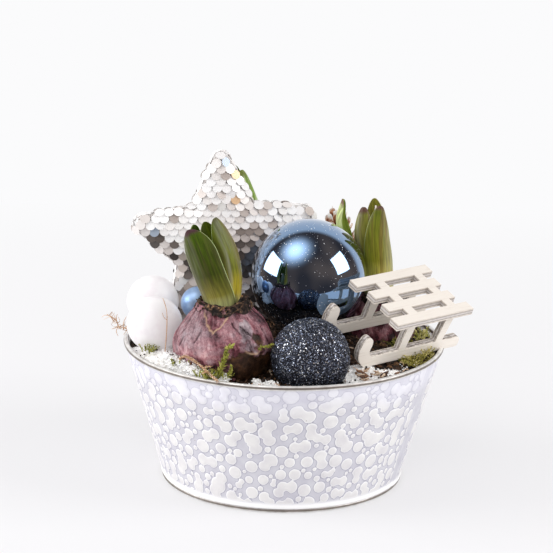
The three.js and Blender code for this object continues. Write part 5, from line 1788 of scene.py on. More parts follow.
def right_hyacinth() -> Hyacinth:
    """Give the plant at the right, behind the sled.

    Returns:
        The plant, ready to build.
    """
    return Hyacinth(
        "hyacinth_b", (58.4, 29), 86, 24.2, 13.2, 111, 66, 0.028, 23, (4.4, 167.4, (-2.4, 0)),
        (
            Leaf(
                166,
                ((47.6, 32.4), (42.2, 39, 126), (37.6, 40.2, 137), (33.6, 39, 148), (32.2, 37.8, 157),
                 (35.4, 35.6, 169.4)),
                6.8, 28, 76,
                LeafSkin(
                    "leaf_pale_green", base="#DCE680", middle="#E0EC96", tip="#DCE6A0", inside="#93A440",
                    streak="#CBD2A4", streak_share=0.4, bloom_share=0.2, blush="#7A5E50", blush_from=0.94,
                ),
            ),
            Leaf(
                -104,
                ((56.2, 20.4), (52.6, 20.8, 130), (49.8, 22.2, 142), (48.2, 24.4, 153), (48.4, 27.4, 166.6)),
                7.4, 34, 56,
                LeafSkin(
                    "leaf_brown_olive", base="#A89C38", middle="#7D7A28", tip="#8A8A38", left="#9A9668",
                    left_share=0.5, streak="#5E4634", streak_share=0.6, bloom_side=-0.7, bloom_share=0.25,
                    blush="#5E4438", blush_from=0.93,
                ),
            ),
            Leaf(
                78, ((60.6, 40.2), (60, 41, 130), (58.4, 40.4, 148), (55.4, 37.5, 170)), 7.2, 24, 44,
                LeafSkin("leaf_olive_inside", inside="#88842E", blush="#C9C2B4", blush_from=0.90),
            ),
            Leaf(
                -80, ((60.4, 17.7), (59.2, 14.6, 132), (57.8, 14.4, 147), (57.8, 16, 159), (58.7, 18.8, 169.6)),
                8.8, 38, 50,
                LeafSkin(
                    "leaf_broad_olive", base="#FFF07A", middle="#8F8C26", tip="#68721C", left="#6B741C",
                    left_share=0.4, right="#A39C66", right_share=0.5, streak="#7A5636", streak_share=0.45,
                    bloom_side=0.9, bloom_share=0.3, blush="#5E4438", blush_from=0.95,
                ),
            ),
        ),
    )


def rear_hyacinth() -> Hyacinth:
    """Give the plant at the back, behind the star.

    Returns:
        The plant, ready to build.
    """
    striped = LeafSkin(
        "leaf_light_striped", base="#8FA64A", middle="#8DAA4A", tip="#7E9A44", left="#5E7E2A", left_share=0.7,
        streak="#E3E8CC", streak_share=0.75, blush="#6F7A3A",
    )
    plain = LeafSkin("leaf_mid_green", base="#A3B048", middle="#6C8A30", tip="#5C7C2A", streak="#C3CCA0")
    return Hyacinth(
        "hyacinth_c", (-14.5, 70.5), 90, 20.4, 12.2, 111, 71, 0.028, 37, (4.4, 138, (-3, 0)),
        (
            Leaf(-60,
            ((-9.4, 61.7), (-16, 61.6, 140), (-23.6, 63, 158), (-29.4, 65.8, 180)), 8.4, 34, 46, striped),
            Leaf(155,
            ((-23.7, 74.9), (-27.6, 74.8, 142), (-31.6, 73.2, 162), (-33.6, 71, 181.4)), 6.6, 26, 46, plain),
            Leaf(45, ((-7.3, 77.7), (-10.6, 79.2, 130), (-15, 79.6, 146)), 6.6, 20, 44, plain),
        ),
    )


# The decorations.


@dataclass
class Star:
    """A padded star covered in overlapping sequins, its two lower tips in the soil."""

    centre: tuple = (-38.7, 40, 136.9)
    yaw: float = 8.0
    lean: float = 7.5
    turn: float = 2.5
    tip_radius: float = 61.0
    valley_radius: float = 34.0
    tip_round: float = 7.0
    edge_half: float = 2.2
    puff: float = 7.0
    puff_reach: float = 22.0
    sequin: float = 3.2
    film: float = 0.12
    tuck: float = 3.0
    row_pitch: float = 3.9
    column_pitch: float = 6.0
    steepest: float = 1.3
    edge_pitch: float = 3.6
    edge_rows: tuple = ((1.9, 1.9, 0.8), (1.0, 0.0, 0.0), (1.9, -1.9, -0.8))
    odd_ones: tuple = (
        ((8.0, 45.5), 0.9), ((5.4, 29.2), 0.9), ((-1.7, 54.3), 0.97), ((-43.6, 9.2), 0.97), ((-31.3, -4.1), 0.03),
        ((-47.6, 5.0), 0.12), ((-41.4, 4.5), 0.12), ((-32.0, 4.5), 0.14),
    )

    def frame(self) -> Matrix:
        """Give the matrix from the star's own plane, x right, y up and z to the front, to the row frame.

        Returns:
            The matrix.
        """
        yaw, lean = math.radians(self.yaw), math.radians(self.lean)
        right = Vector((math.cos(yaw), math.sin(yaw), 0))
        behind = Vector((-math.sin(yaw), math.cos(yaw), 0))
        up = behind * math.sin(lean) + Vector((0, 0, math.cos(lean)))
        facing = right.cross(up)
        made = Matrix((right, up, facing)).transposed().to_4x4()
        made.translation = Vector(self.centre)
        return made

    def outline(self, steps: int = 8) -> Array:
        """Give the outline's corners, with round tips and sharp valleys.

        Args:
            steps: How many corners a tip has.

        Returns:
            The corners, one row each.
        """
        half = math.pi / 5
        tip = self.tip_radius - self.tip_round
        valley = self.valley_radius * np.array([math.cos(half), math.sin(half)])
        run = math.hypot(tip - valley[0], valley[1])
        slope = math.atan2(valley[1], tip - valley[0])
        sweep = math.pi - slope - math.acos(self.tip_round / run)
        corners = []
        for arm in range(5):
            axis = math.radians(90 + self.turn) + arm * 2 * half
            around = np.linspace(axis - sweep, axis + sweep, steps)
            corners += [polar(around, self.tip_round, 0, polar(axis, tip)), polar([axis + half], self.valley_radius)]
        return np.vstack(corners)[:, :2]

    def depth(self, points: Array) -> Array:
        """Give each point's distance inside the outline, less than nought outside.

        Args:
            points: Places in the star's plane.

        Returns:
            The distances in millimetres.
        """
        corners = self.outline()
        after = np.roll(corners, -1, axis=0)
        run = after - corners
        gap = points[:, None] - corners[None]
        share = np.clip((gap * run).sum(-1) / (run * run).sum(-1), 0, 1)
        away = np.linalg.norm(gap - share[..., None] * run, axis=-1).min(axis=1)
        x, y = points[:, 0:1], points[:, 1:2]
        crosses = (corners[:, 1] > y) != (after[:, 1] > y)
        at = run[:, 0] * (y - corners[:, 1]) / np.where(run[:, 1] == 0, 1e-9, run[:, 1]) + corners[:, 0]
        inside = (crosses & (x < at)).sum(axis=1) % 2 == 1
        return np.where(inside, away, -away)

    def half_thickness(self, points: Array) -> Array:
        """Give the padding's half thickness at points of the star's plane."""
        share = 1 - np.clip(self.depth(points) / self.puff_reach, 0, 1)
        return self.edge_half + self.puff * np.sqrt(1 - share * share)

    def placed(self, points: Array) -> Array:
        """Move points from the star's plane to the row frame."""
        matrix = np.array(self.frame())
        return points @ matrix[:3, :3].T + matrix[:3, 3]

    def padding(self) -> Piece:
        """Build the padded body, a little inside the sequins.

        Returns:
            The piece.
        """
        corners = self.outline(14)
        share = 1 - (1 - np.linspace(0, 1, 16)) ** 1.5
        rows = []
        for sign in (1, -1):
            for part in share[::sign]:
                flat = corners * (1 - self.tuck / np.linalg.norm(corners, axis=1, keepdims=True)) * part
                rows.append(join(*flat.T, np.maximum(self.half_thickness(flat) - 0.4, 0.4) * sign))
        made = Cluster().add(self.placed(np.vstack(rows)), grid_faces(len(rows), len(corners), True))
        piece = made.mesh("star_padding", BackingCloth("woven_backing_cloth"))
        piece.modifiers.new("weld", "WELD").merge_threshold = 0.01 * MM
        return piece

    def disc(self, sides: int = 16) -> tuple[Array, list]:
        """Give one sequin's corners and faces: a thin flat disc.

        Args:
            sides: How many sides it has.

        Returns:
            Its corners and its faces.
        """
        ring = polar(steps_round(sides)) * self.sequin
        points = np.vstack([ring, ring - [0, 0, self.film]])
        faces = [[k, (k + 1) % sides, (k + 1) % sides + sides, k + sides][::-1] for k in range(sides)]
        return points, [list(range(sides)), list(range(sides, 2 * sides))[::-1], *faces]

    def sew(
        self, made: Cluster, normals: Array, spins: Array, places: Array, tones: Array, size: float = 1.0
    ) -> None:
        """Sew sequins on.

        Args:
            made: What they are added to.
            normals: Which way each one faces.
            spins: Its turn about that.
            places: Where it goes, in the star's plane.
            tones: Its tone.
            size: Their size, as a share of the full one.
        """
        shape, faces = self.disc()
        turns = np.einsum("ij,njk->nik", np.array(self.frame())[:3, :3], turned(normals, spins))
        for turn, place, tone in zip(turns, self.placed(places), tones):
            made.add(shape * size @ turn.T + place, faces, tone=tone)

    def sequins(self) -> Piece:
        """Sew the sequins on in rows, each row's lower edge over the next.

        Returns:
            The piece.
        """
        random = np.random.default_rng(19)
        spots = []
        rows = int(2 * self.tip_radius / self.row_pitch) + 2
        for row in range(rows):
            y = self.tip_radius - row * self.row_pitch
            for column in range(-12, 13):
                x = (column + 0.5 * (row % 2)) * self.column_pitch
                spots.append((x + random.normal() * 0.3, y + random.normal() * 0.25))
        spots = np.array(spots)
        spots = spots[self.depth(spots) > 0.7]
        step = 0.5
        made = Cluster()
        for sign in (1, -1):
            slope_x, slope_y = (
                (self.half_thickness(spots + way) - self.half_thickness(spots - way)) / (2 * step)
                for way in ([step, 0], [0, step])
            )
            slope_x, slope_y = np.clip([slope_x, slope_y], -self.steepest, self.steepest)
            loose = random.random(len(spots)) < 0.10
            tilt = np.where(loose, 0.2, 0.055)[:, None] * random.normal(size=(len(spots), 2))
            normals = unit(unit(join(-slope_x, -slope_y, sign)) + join(*tilt.T, 0) + [0, 0.2, 0])
            places = join(*spots.T, sign * (self.half_thickness(spots) + 0.75))
            spins = random.uniform(0, FULL_TURN, len(spots))
            self.sew(made, normals, spins, places, self.tones(random, spots, sign))
        self.edging(random, made)
        return made.mesh("star_sequins", SequinFoil("silvered_sequin_film"), is_smooth=False)

    def tones(self, random: Random, spots: Array, sign: int) -> Array:
        """Pick each sequin's tone, with painted shade making the lower part darker and browner and a patch by the big
        ball darker, and with a few odd ones.

        Args:
            random: Where its chances come from.
            spots: The sequins' places.
            sign: One for the front.

        Returns:
            The tones.
        """
        base = 0.66 + 0.17 * random.normal(size=len(spots))
        # Painted shade: low darkens the lower sequins and makes near-black ones commoner there, and shaded darkens a
        # patch next to the big ball.
        low = smooth(9, -8, spots[:, 1])
        shaded = smooth(17, 7, np.hypot((spots[:, 0] - 16) / 1.3, (spots[:, 1] + 3) / 1.7))
        base = base - low * np.where(random.random(len(spots)) < 0.5, 0.4, 0.12) - 0.38 * shaded
        base = np.where(random.random(len(spots)) < mix(0.02, 0.12, low), 0.05, base)
        tone = np.clip(base, 0.03, 0.84)
        if sign == 1:
            for spot, value in self.odd_ones:
                tone[np.argmin(np.hypot(*(spots - spot).T))] = value
        return tone

    def edging(self, random: Random, made: Cluster) -> None:
        """Sew sequins round the star's thin edge.

        Args:
            random: Where its chances come from.
            made: What they are added to.
        """
        corners = self.outline(10)
        loop = np.vstack([corners, corners[:1]])
        measure = np.concatenate([[0], np.cumsum(np.linalg.norm(np.diff(loop, axis=0), axis=1))])
        count = int(measure[-1] / self.edge_pitch)
        for inset, off, out in self.edge_rows:
            start = self.edge_pitch / 2 if out else 0
            at = (np.linspace(0, measure[-1], count, endpoint=False) + start) % measure[-1]
            spots, ahead = (
                join(*(np.interp(where, measure, axis) for axis in loop.T))
                for where in (at, (at + 1.5) % measure[-1])
            )
            run = unit(ahead - spots)
            normals = join(run[:, 1], -run[:, 0], out + random.normal(size=count) * 0.15)
            places = join(*(spots - normals[:, :2] * inset).T, off)
            spins = random.uniform(0, FULL_TURN, count)
            tones = np.clip(0.74 + 0.1 * random.normal(size=count), 0.3, 0.84)
            self.sew(made, normals, spins, places, tones, 0.86)

    def build(self) -> None:
        """Build and seat the padding and the sequins."""
        seat(self.sequins(), "sequins", "star")
        seat(self.padding(), "sequins")


@dataclass
class Ball:
    """A glass ball, with a neck for its cap or a hole for its wire."""

    name: str
    node: str
    centre: tuple
    radius: float
    slot: str
    finish: Finish
    neck: float = 0.0
    neck_length: float = 4.6
    rows: int = 76

    def body(self) -> Piece:
        """Build the ball as one smooth turned form.

        Returns:
            The piece.
        """
        latitude = np.linspace(-math.pi / 2, math.pi / 2, self.rows + 1)[1:-1]
        outline = join(np.cos(latitude), np.sin(latitude)) * self.radius
        if self.neck:
            outline = outline[~((outline[:, 0] < self.neck) & (outline[:, 1] < 0))]
            low = -self.radius - self.neck_length + 1.5
            outline = np.vstack([[self.neck, low], [self.neck, outline[0, 1] + 0.2], outline])
        columns = self.rows * 2
        points = polar(steps_round(columns), outline[:, :1], outline[:, 1:]) + self.centre
        return Cluster().add(points, closed(len(outline), columns)).mesh(self.name, self.finish)

    def build(self) -> None:
        """Build and seat the ball."""
        seat(self.body(), self.slot, self.node)


@dataclass
class GlitterBall(Ball):
    """A ball coated with loose glitter."""

    flakes: int = 20600
    flake: float = 0.33

    def glitter(self) -> Piece:
        """Strew hexagonal flakes evenly over the ball, each tilted its own way.

        Returns:
            The piece.
        """
        random = np.random.default_rng(55)
        index = np.arange(self.flakes) + 0.5
        height = 1 - 2 * index / self.flakes
        angle = index * math.pi * (3 - math.sqrt(5))
        ways = polar(angle, np.sqrt(1 - height**2), height)
        ways = unit(ways + random.normal(size=ways.shape) * 0.012)
        normals = unit(ways + random.normal(size=ways.shape) * 0.34)
        turns = turned(normals, random.uniform(0, FULL_TURN, self.flakes))
        turns = turns * random.uniform(0.75, 1.3, self.flakes)[:, None, None]
        places = ways * (self.radius + random.uniform(0.0, 0.35, (self.flakes, 1))) + self.centre
        tone = random.random(self.flakes) ** 1.5
        made = Cluster().copies(polar(steps_round(6)) * self.flake, np.arange(6)[None], turns, places, tone=tone)
        return made.mesh(f"{self.name}_flakes", GlitterFlake("foil_glitter"), is_smooth=False)

    def build(self) -> None:
        """Build and seat the ball and its glitter."""
        seat(self.body(), self.slot, self.node)
        seat(self.glitter(), self.slot)


@dataclass
class PineCone:
    """A small pine cone with whitened scales."""

    foot: tuple = (33, 62, 88.5)
    height: float = 67.0
    radius: float = 15.5
    core: float = 7.0
    scales: int = 74
    scale_turn: float = 2.39996
    scale_width: tuple = (5.2, 3.6)
    scale_rise: tuple = (1.5, 8.5)

    def girth(self, share: Number) -> Number:
        """Give the cone's fullness at a share of its height."""
        return np.sin(math.pi * mix(0.2, 0.97, share)) ** 0.75

    def build(self) -> None:
        """Build the core and its scales, and seat them as one piece."""
        random = np.random.default_rng(5)
        made = Cluster()
        share = np.linspace(0, 1, 14)
        path = Path([(0, 0, 0), (0, 0, self.height * 0.5), (0, 0, self.height * 0.95)])
        core, faces = tube(path, np.maximum(self.core * self.girth(share), 0.3), 16)
        made.add(core + self.foot, faces, tone=0.15)
        across = np.linspace(-1, 1, 9)
        out = np.linspace(0, 1, 8)
        for k in range(self.scales):
            place = (k + 0.4) / self.scales
            turn = k * self.scale_turn + 0.1 * random.normal()
            reach = self.radius * self.girth(place)
            wide = mix(*self.scale_width, place) * mix(0.8, 1, self.girth(place))
            rise = mix(*self.scale_rise, place)
            width = wide * mix(0.45, 1, np.sin(out * math.pi * 0.62) ** 0.8)
            width = width * np.where(out > 0.85, 0.8, 1)
            x, y = out[:, None] * reach, width[:, None] * across
            z = rise * out[:, None] ** 1.6 - 0.054 * y**2 + 1.6 * smooth(0.75, 1, out)[:, None]
            thick = mix(0.9, 1.7, out)[:, None] * (1 - 0.4 * across**2)
            corners, sides = plate(join(x, y, z + thick), join(x * 0.98, y, z - 0.3))
            cos, sin = math.cos(turn), math.sin(turn)
            rotated = corners @ np.array([[cos, sin, 0], [-sin, cos, 0], [0, 0, 1]])
            tip = corners[:, 0] / max(reach, 1e-6)
            tone = 0.28 + 0.54 * smooth(0.76, 0.98, tip) + 0.08 * random.normal()
            made.add(rotated + self.foot + [0, 0, self.height * place * 0.88 + 1], sides, tone=tone)
        seat(made.mesh("cone_scales", CONE_WOOD), "cone", "pine_cone")


@dataclass
class Sled:
    """A small plywood sled: the slatted deck stays as it is, and its runners are drawn with rounder curls."""

    corner: tuple = (56.2, -11.8, 133.7)
    yaw: float = 40.0
    roll: float = 22.0
    ply: float = 4.5
    inset: float = 5.3
    deck_width: float = 48.4
    height: float = 33.4
    rail: float = 7.7
    rail_rear: float = 44.5
    curl_front: float = -41.2
    posts: tuple = (((-8, -2), (-5.6, 1.4)), ((22.7, 28.8), (26.8, 33.2)))
    gap: float = 0.3
    bevel: float = 0.3

    def axes(self) -> tuple[Vector, Vector, Vector]:
        """Give the ways to the sled's rear, to its near side and down through its deck.

        Returns:
            The three ways.
        """
        yaw, roll = math.radians(self.yaw), math.radians(self.roll)
        length = Vector((math.cos(yaw), math.sin(yaw), 0))
        level = Vector((math.sin(yaw), -math.cos(yaw), 0))
        down = Vector((0, 0, -1))
        width = level * math.cos(roll) + down * math.sin(roll)
        below = level * -math.sin(roll) + down * math.cos(roll)
        return length, width, below

    def runner_outline(self) -> Array:
        """Give a runner's outline, rear and down, with its curl and posts.

        Returns:
            The outline's corners, one row each.
        """
        top = self.height - self.rail
        head = self.ply + self.gap
        front, rear = self.curl_front, self.rail_rear

        def bend(*ways: tuple) -> list:
            """Give points along a curve bent towards its middle ways.

            Args:
                ways: The ways.

            Returns:
                The points.
            """
            share = np.linspace(0, 1, 13)[:, None]
            pts = [np.array(way, float) for way in ways]
            while len(pts) > 1:
                pts = [mix(a, b, share) for a, b in zip(pts, pts[1:])]
            return pts[0].tolist()

        line = [[front + 8.5, self.height]]
        line += bend((rear - 2.5, self.height), (rear, self.height), (rear, self.height - 3))
        line += bend((rear, self.height - 3), (rear, top), (rear - 4, top))[1:]
        for (foot_front, foot_rear), (head_front, head_rear) in reversed(self.posts):
            line += [[foot_rear, top], [head_rear, head], [head_front, head], [foot_front, top]]
        line += bend((front + 12, top), (front + 9, top - 1.5), (front + 8, top - 5), (front + 9.4, top - 8))
        line += bend((front + 9.2, 15), (front + 8.9, 12.4), (front + 6.2, 10.9))
        line += bend((front + 6.2, 10.9), (front + 3.6, 9.4), (front + 1.9, 12.4))
        line += bend((front + 1.9, 12.4), (front - 0.9, 17), (front - 0.9, 25), (front + 3.6, 29))[1:]
        line += bend((front + 3.6, 29), (front + 6, 32), (front + 8.5, self.height))[1:-1]
        return np.array(line)

    def runner(self, name: str, edge: float) -> Piece:
        """Cut one runner from the sheet.

        Args:
            name: The piece's name.
            edge: Where its sheet starts across the deck.

        Returns:
            The piece.
        """
        outline = self.runner_outline()
        length, width, below = (np.array(axis) for axis in self.axes())
        line = self.corner + outline[:, :1] * length + outline[:, 1:] * below
        made = Cluster().add(*prism(line + edge * width, line + (edge + self.ply) * width))
        start = Vector(self.corner) + Vector(width) * edge
        finish = Plywood(f"poplar_plywood_{name}", tuple(width), tuple(length), tuple(start), thickness=self.ply)
        piece = made.mesh(name, finish, is_smooth=False)
        self.soften(piece)
        return piece

    def soften(self, piece: Piece) -> None:
        """Break the sharp edges that a laser leaves, as sanding does.

        Args:
            piece: The piece.
        """
        modifier = piece.modifiers.new("sanded_edges", "BEVEL")
        modifier.width = self.bevel * MM
        modifier.segments = 2
        modifier.limit_method = "ANGLE"
        modifier.angle_limit = math.radians(50)

    def build(self) -> None:
        """Dress the deck and build both runners."""
        length, _, below = self.axes()
        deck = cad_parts["sled_deck"]
        finish = Plywood(
            "poplar_plywood_deck", tuple(below), tuple(length), self.corner, self.ply, "#E2DAD0", "#D8CEC3", 0.22
        )
        finish.dress(deck)
        deck.data.polygons.foreach_set("use_smooth", [False] * len(deck.data.polygons))
        self.soften(deck)
        near = self.deck_width - self.inset - self.ply
        seat(self.runner("runner_far", self.inset), "plywood", "sled_runner_far")
        seat(self.runner("runner_near", near), "plywood", "sled_runner_near")


# Greenery and litter.


LEAFLET_TURN = 2.4
LEAFLET_FACES = (
    [0, 1, 5], [1, 2, 5], [2, 4, 5], [4, 3, 5], [3, 0, 5], [1, 0, 6], [2, 1, 6], [4, 2, 6], [3, 4, 6], [0, 3, 6],
)
SCALE_FACES = ([0, 1, 3], [1, 2, 3], [2, 0, 3], [1, 0, 2])


@dataclass
class Moss:
    """One tuft of moss: a low cushion of pointed shoots."""

    name: str
    node: str
    ground: Ground
    seed: int
    centre: tuple
    size: tuple
    height: float
    lift: float
    shoots: int
    tones: tuple
    finish: Finish

    def oval(self, angle: float) -> float:
        """Give the cushion's radius in a direction."""
        return 1 / np.hypot(np.cos(angle) / self.size[0], np.sin(angle) / self.size[1])

    def grow(
        self, made: Cluster, random: Random, path: Path, radius: float, leaflets: int, tone: float
    ) -> None:
        """Grow one shoot: a stem with pointed leaflets all the way up.

        Args:
            made: What it is added to.
            random: Where its chances come from.
            path: The line of its stem.
            radius: Its stem's radius at the foot.
            leaflets: How many leaflets it has.
            tone: Its tone.
        """
        made.add(*tube(path, np.linspace(radius, radius * 0.5, 6), 5), tone=tone * 0.8)
        share = np.linspace(0.06, 1.0, leaflets)
        centre, along, out = path.leaflets(share, np.arange(leaflets) * LEAFLET_TURN + random.uniform(0, 6))
        share = share[:, None]
        length = radius * random.uniform(3.0, 5.4, (leaflets, 1)) * mix(1.0, 0.7, share)
        way = unit(out * mix(1.0, 0.5, share) + along * 0.75)
        flat = unit(np.cross(way, along)) * radius * 1.15
        middle = centre + way * length * 0.45 + out * 0.15
        tip = centre + way * length + out * length * 0.12
        thick = np.cross(way, unit(flat)) * 0.11
        for c, m, t, f, k in zip(centre, middle, tip, flat, thick):
            corners = [c - f * 0.5, c + f * 0.5, m + f, m - f, t, m + k * 2, m - k * 2]
            made.add(corners, LEAFLET_FACES, tone=tone + 0.12 * random.normal())

    def build(self) -> None:
        """Build the tuft and seat it."""
        random = np.random.default_rng(self.seed)
        made = Cluster()
        for _ in range(self.shoots):
            angle = random.uniform(0, FULL_TURN)
            share = math.sqrt(random.random())
            x, y, _ = polar(angle, self.oval(angle) * share, 0, self.centre)
            z = self.ground.soil_top(x, y) + self.lift + self.height * (1 - share**2) - 1.2
            length = random.uniform(4.0, 7.4)
            lean = polar(angle) * share * 0.7 + random.normal(size=3) * [0.3, 0.3, 0]
            foot = self.ground.inside(join(x, y, z), 2.4)
            mid = foot + (lean * 0.35 + [0, 0, 0.6]) * length * 0.5
            tip = foot + (lean * 0.8 + [0, 0, 0.75]) * length
            radius, tone = random.uniform(0.28, 0.42), random.uniform(*self.tones)
            self.grow(made, random, Path([foot, mid, tip]), radius, 9, tone)
        if self.node == "moss_front":
            self.tall_shoot(made, random)
        seat(made.mesh(self.name, self.finish, is_smooth=False), "moss", *filter(None, [self.node]))

    def tall_shoot(self, made: Cluster, random: Random) -> None:
        """Grow the tall bright shoot in front of the bulb, and two short ones beside it.

        Args:
            made: What they are added to.
            random: Where its chances come from.
        """
        stems = (
            ((-39.4, -84.6, 84), (-38.2, -84.8, 90), (-36.2, -85, 96), (-34, -85.2, 102), (-33.4, -85.6, 107),
             (-30.8, -86, 108.2)),
            ((-38, -85, 84), (-34, -86, 88.5), (-31, -86.6, 92.5), (-30.6, -86.8, 96)),
            ((-41, -85, 84), (-44.5, -86, 87.5), (-46.6, -86.6, 91)),
            ((-15.6, -72.6, 101.8), (-13, -72.6, 104.4), (-10, -71.4, 104), (-6.4, -70.4, 105.4)),
            ((-36, -85, 84), (-35, -86.4, 88), (-36.6, -87.4, 92)),
        )
        for stem, leaflets, radius in zip(stems, (60, 24, 18, 22, 16), (0.92, 0.7, 0.7, 0.55, 0.6)):
            self.grow(made, random, Path(stem), radius, leaflets, 0.55)


@dataclass
class Twig:
    """A dry twig with small scale leaves, and its side shoots."""

    name: str
    node: str
    radii: tuple
    stem: tuple
    branches: tuple
    scale_leaves: int
    seed: int
    visible: float = 0.7
    threads: int = 0

    def build(self) -> None:
        """Build the twig and seat it."""
        random = np.random.default_rng(self.seed)
        made = Cluster()
        for number, line in enumerate((self.stem, *self.branches)):
            path = Path(line)
            thin = 1.0 if number == 0 else 0.62
            radii = np.linspace(self.radii[0], self.radii[1], 18) * thin * self.visible
            radii = radii * (1 + 0.12 * random.normal(size=18))
            radii[-1] *= 0.4
            made.add(*tube(path, radii, 7), tone=0.45)
            count = int(self.scale_leaves * path.length / 20)
            centre, along, out = path.leaflets(np.linspace(0.08, 0.98, count), np.arange(count) * LEAFLET_TURN)
            radius = self.radii[0] * thin * 0.72
            for c, a, o in zip(centre, along, out):
                flat = np.cross(a, o) * radius * 0.5
                length = radius * random.uniform(1.3, 2.4)
                tip = c + a * length + o * radius * random.uniform(0.9, 1.5)
                under = c + o * radius * 0.5
                corners = [under - flat, under + flat, tip, c + a * length * 0.4 + o * radius * 1.05]
                made.add(corners, SCALE_FACES, tone=random.uniform(0.35, 0.95))
        self.fray(made, random)
        seat(made.mesh(self.name, DRY_TWIG), "twig", self.node)

    def fray(self, made: Cluster, random: Random) -> None:
        """Add thin curled threads along the outer half of the stem.

        Args:
            made: What they are added to.
            random: Where its chances come from.
        """
        path = Path(self.stem)
        for _ in range(self.threads):
            start = path.at([random.uniform(0.5, 1.0)])[0]
            way = unit(random.normal(size=3))
            bend = random.normal(size=3) * 1.2
            length = random.uniform(2.0, 5.0)
            line = Path([start, start + way * length * 0.5 + bend, start + way * length + bend * 0.3])
            made.add(*tube(line, np.linspace(0.24, 0.12, 6), 4), tone=random.uniform(0.2, 0.9))


TWIGS = (
    Twig(
        "twig_over_left_rim", "sprig_left", (1.0, 0.6),
        ((-84, -15, 86.4), (-89, -9, 88.8), (-95, -3, 91.4), (-99.5, 0, 92.6), (-103.6, 0.5, 93.6), (-104.4, 0.8, 97),
         (-110.5, 1, 100.7)),
        (
            ((-103.4, 0.5, 93.5), (-104.6, -0.5, 90.5), (-103.4, -1, 87.4)),
            ((-103.2, 0.5, 93.5), (-105.4, 0, 92.4), (-107.6, 0, 91.7)),
            ((-100.5, 0.2, 93), (-100, 0.8, 96.5), (-98.4, 1, 99.7)),
            ((-104.5, 0.8, 96.6), (-104.8, 1.6, 98.6), (-104.2, 2.4, 100.8)),
        ),
        3, 61, 0.4, 34,
    ),
    Twig(
        "twig_over_front_rim", "sprig_front", (1.4, 1.0),
        ((-66, -60, 86.4), (-63.8, -66.6, 91.8), (-59, -73, 97.4), (-51.4, -81, 96.2), (-45, -86.5, 92.4),
         (-38.4, -94.6, 89.2)),
        (
            ((-51.4, -81, 96.2), (-52.6, -83, 98), (-53.4, -84.6, 99.6)),
            ((-47.4, -84.6, 94), (-45, -85.6, 95.2), (-42.8, -86.6, 95.8)),
            ((-45, -86.5, 92.4), (-46.6, -88.6, 92.6), (-47.6, -90.6, 92.6)),
        ),
        52, 62, 0.45,
    ),
    Twig(
        "thin_stalk", "stalk_left", (0.8, 0.6),
        ((-72.4, -44.4, 86), (-71.4, -45.6, 98), (-70.8, -46.6, 110), (-71.2, -47, 119), (-73.4, -47, 126)),
        (((-71, -46.6, 112), (-72.6, -47.6, 114), (-73.6, -48.4, 117)),),
        2, 63, 0.36,
    ),
)


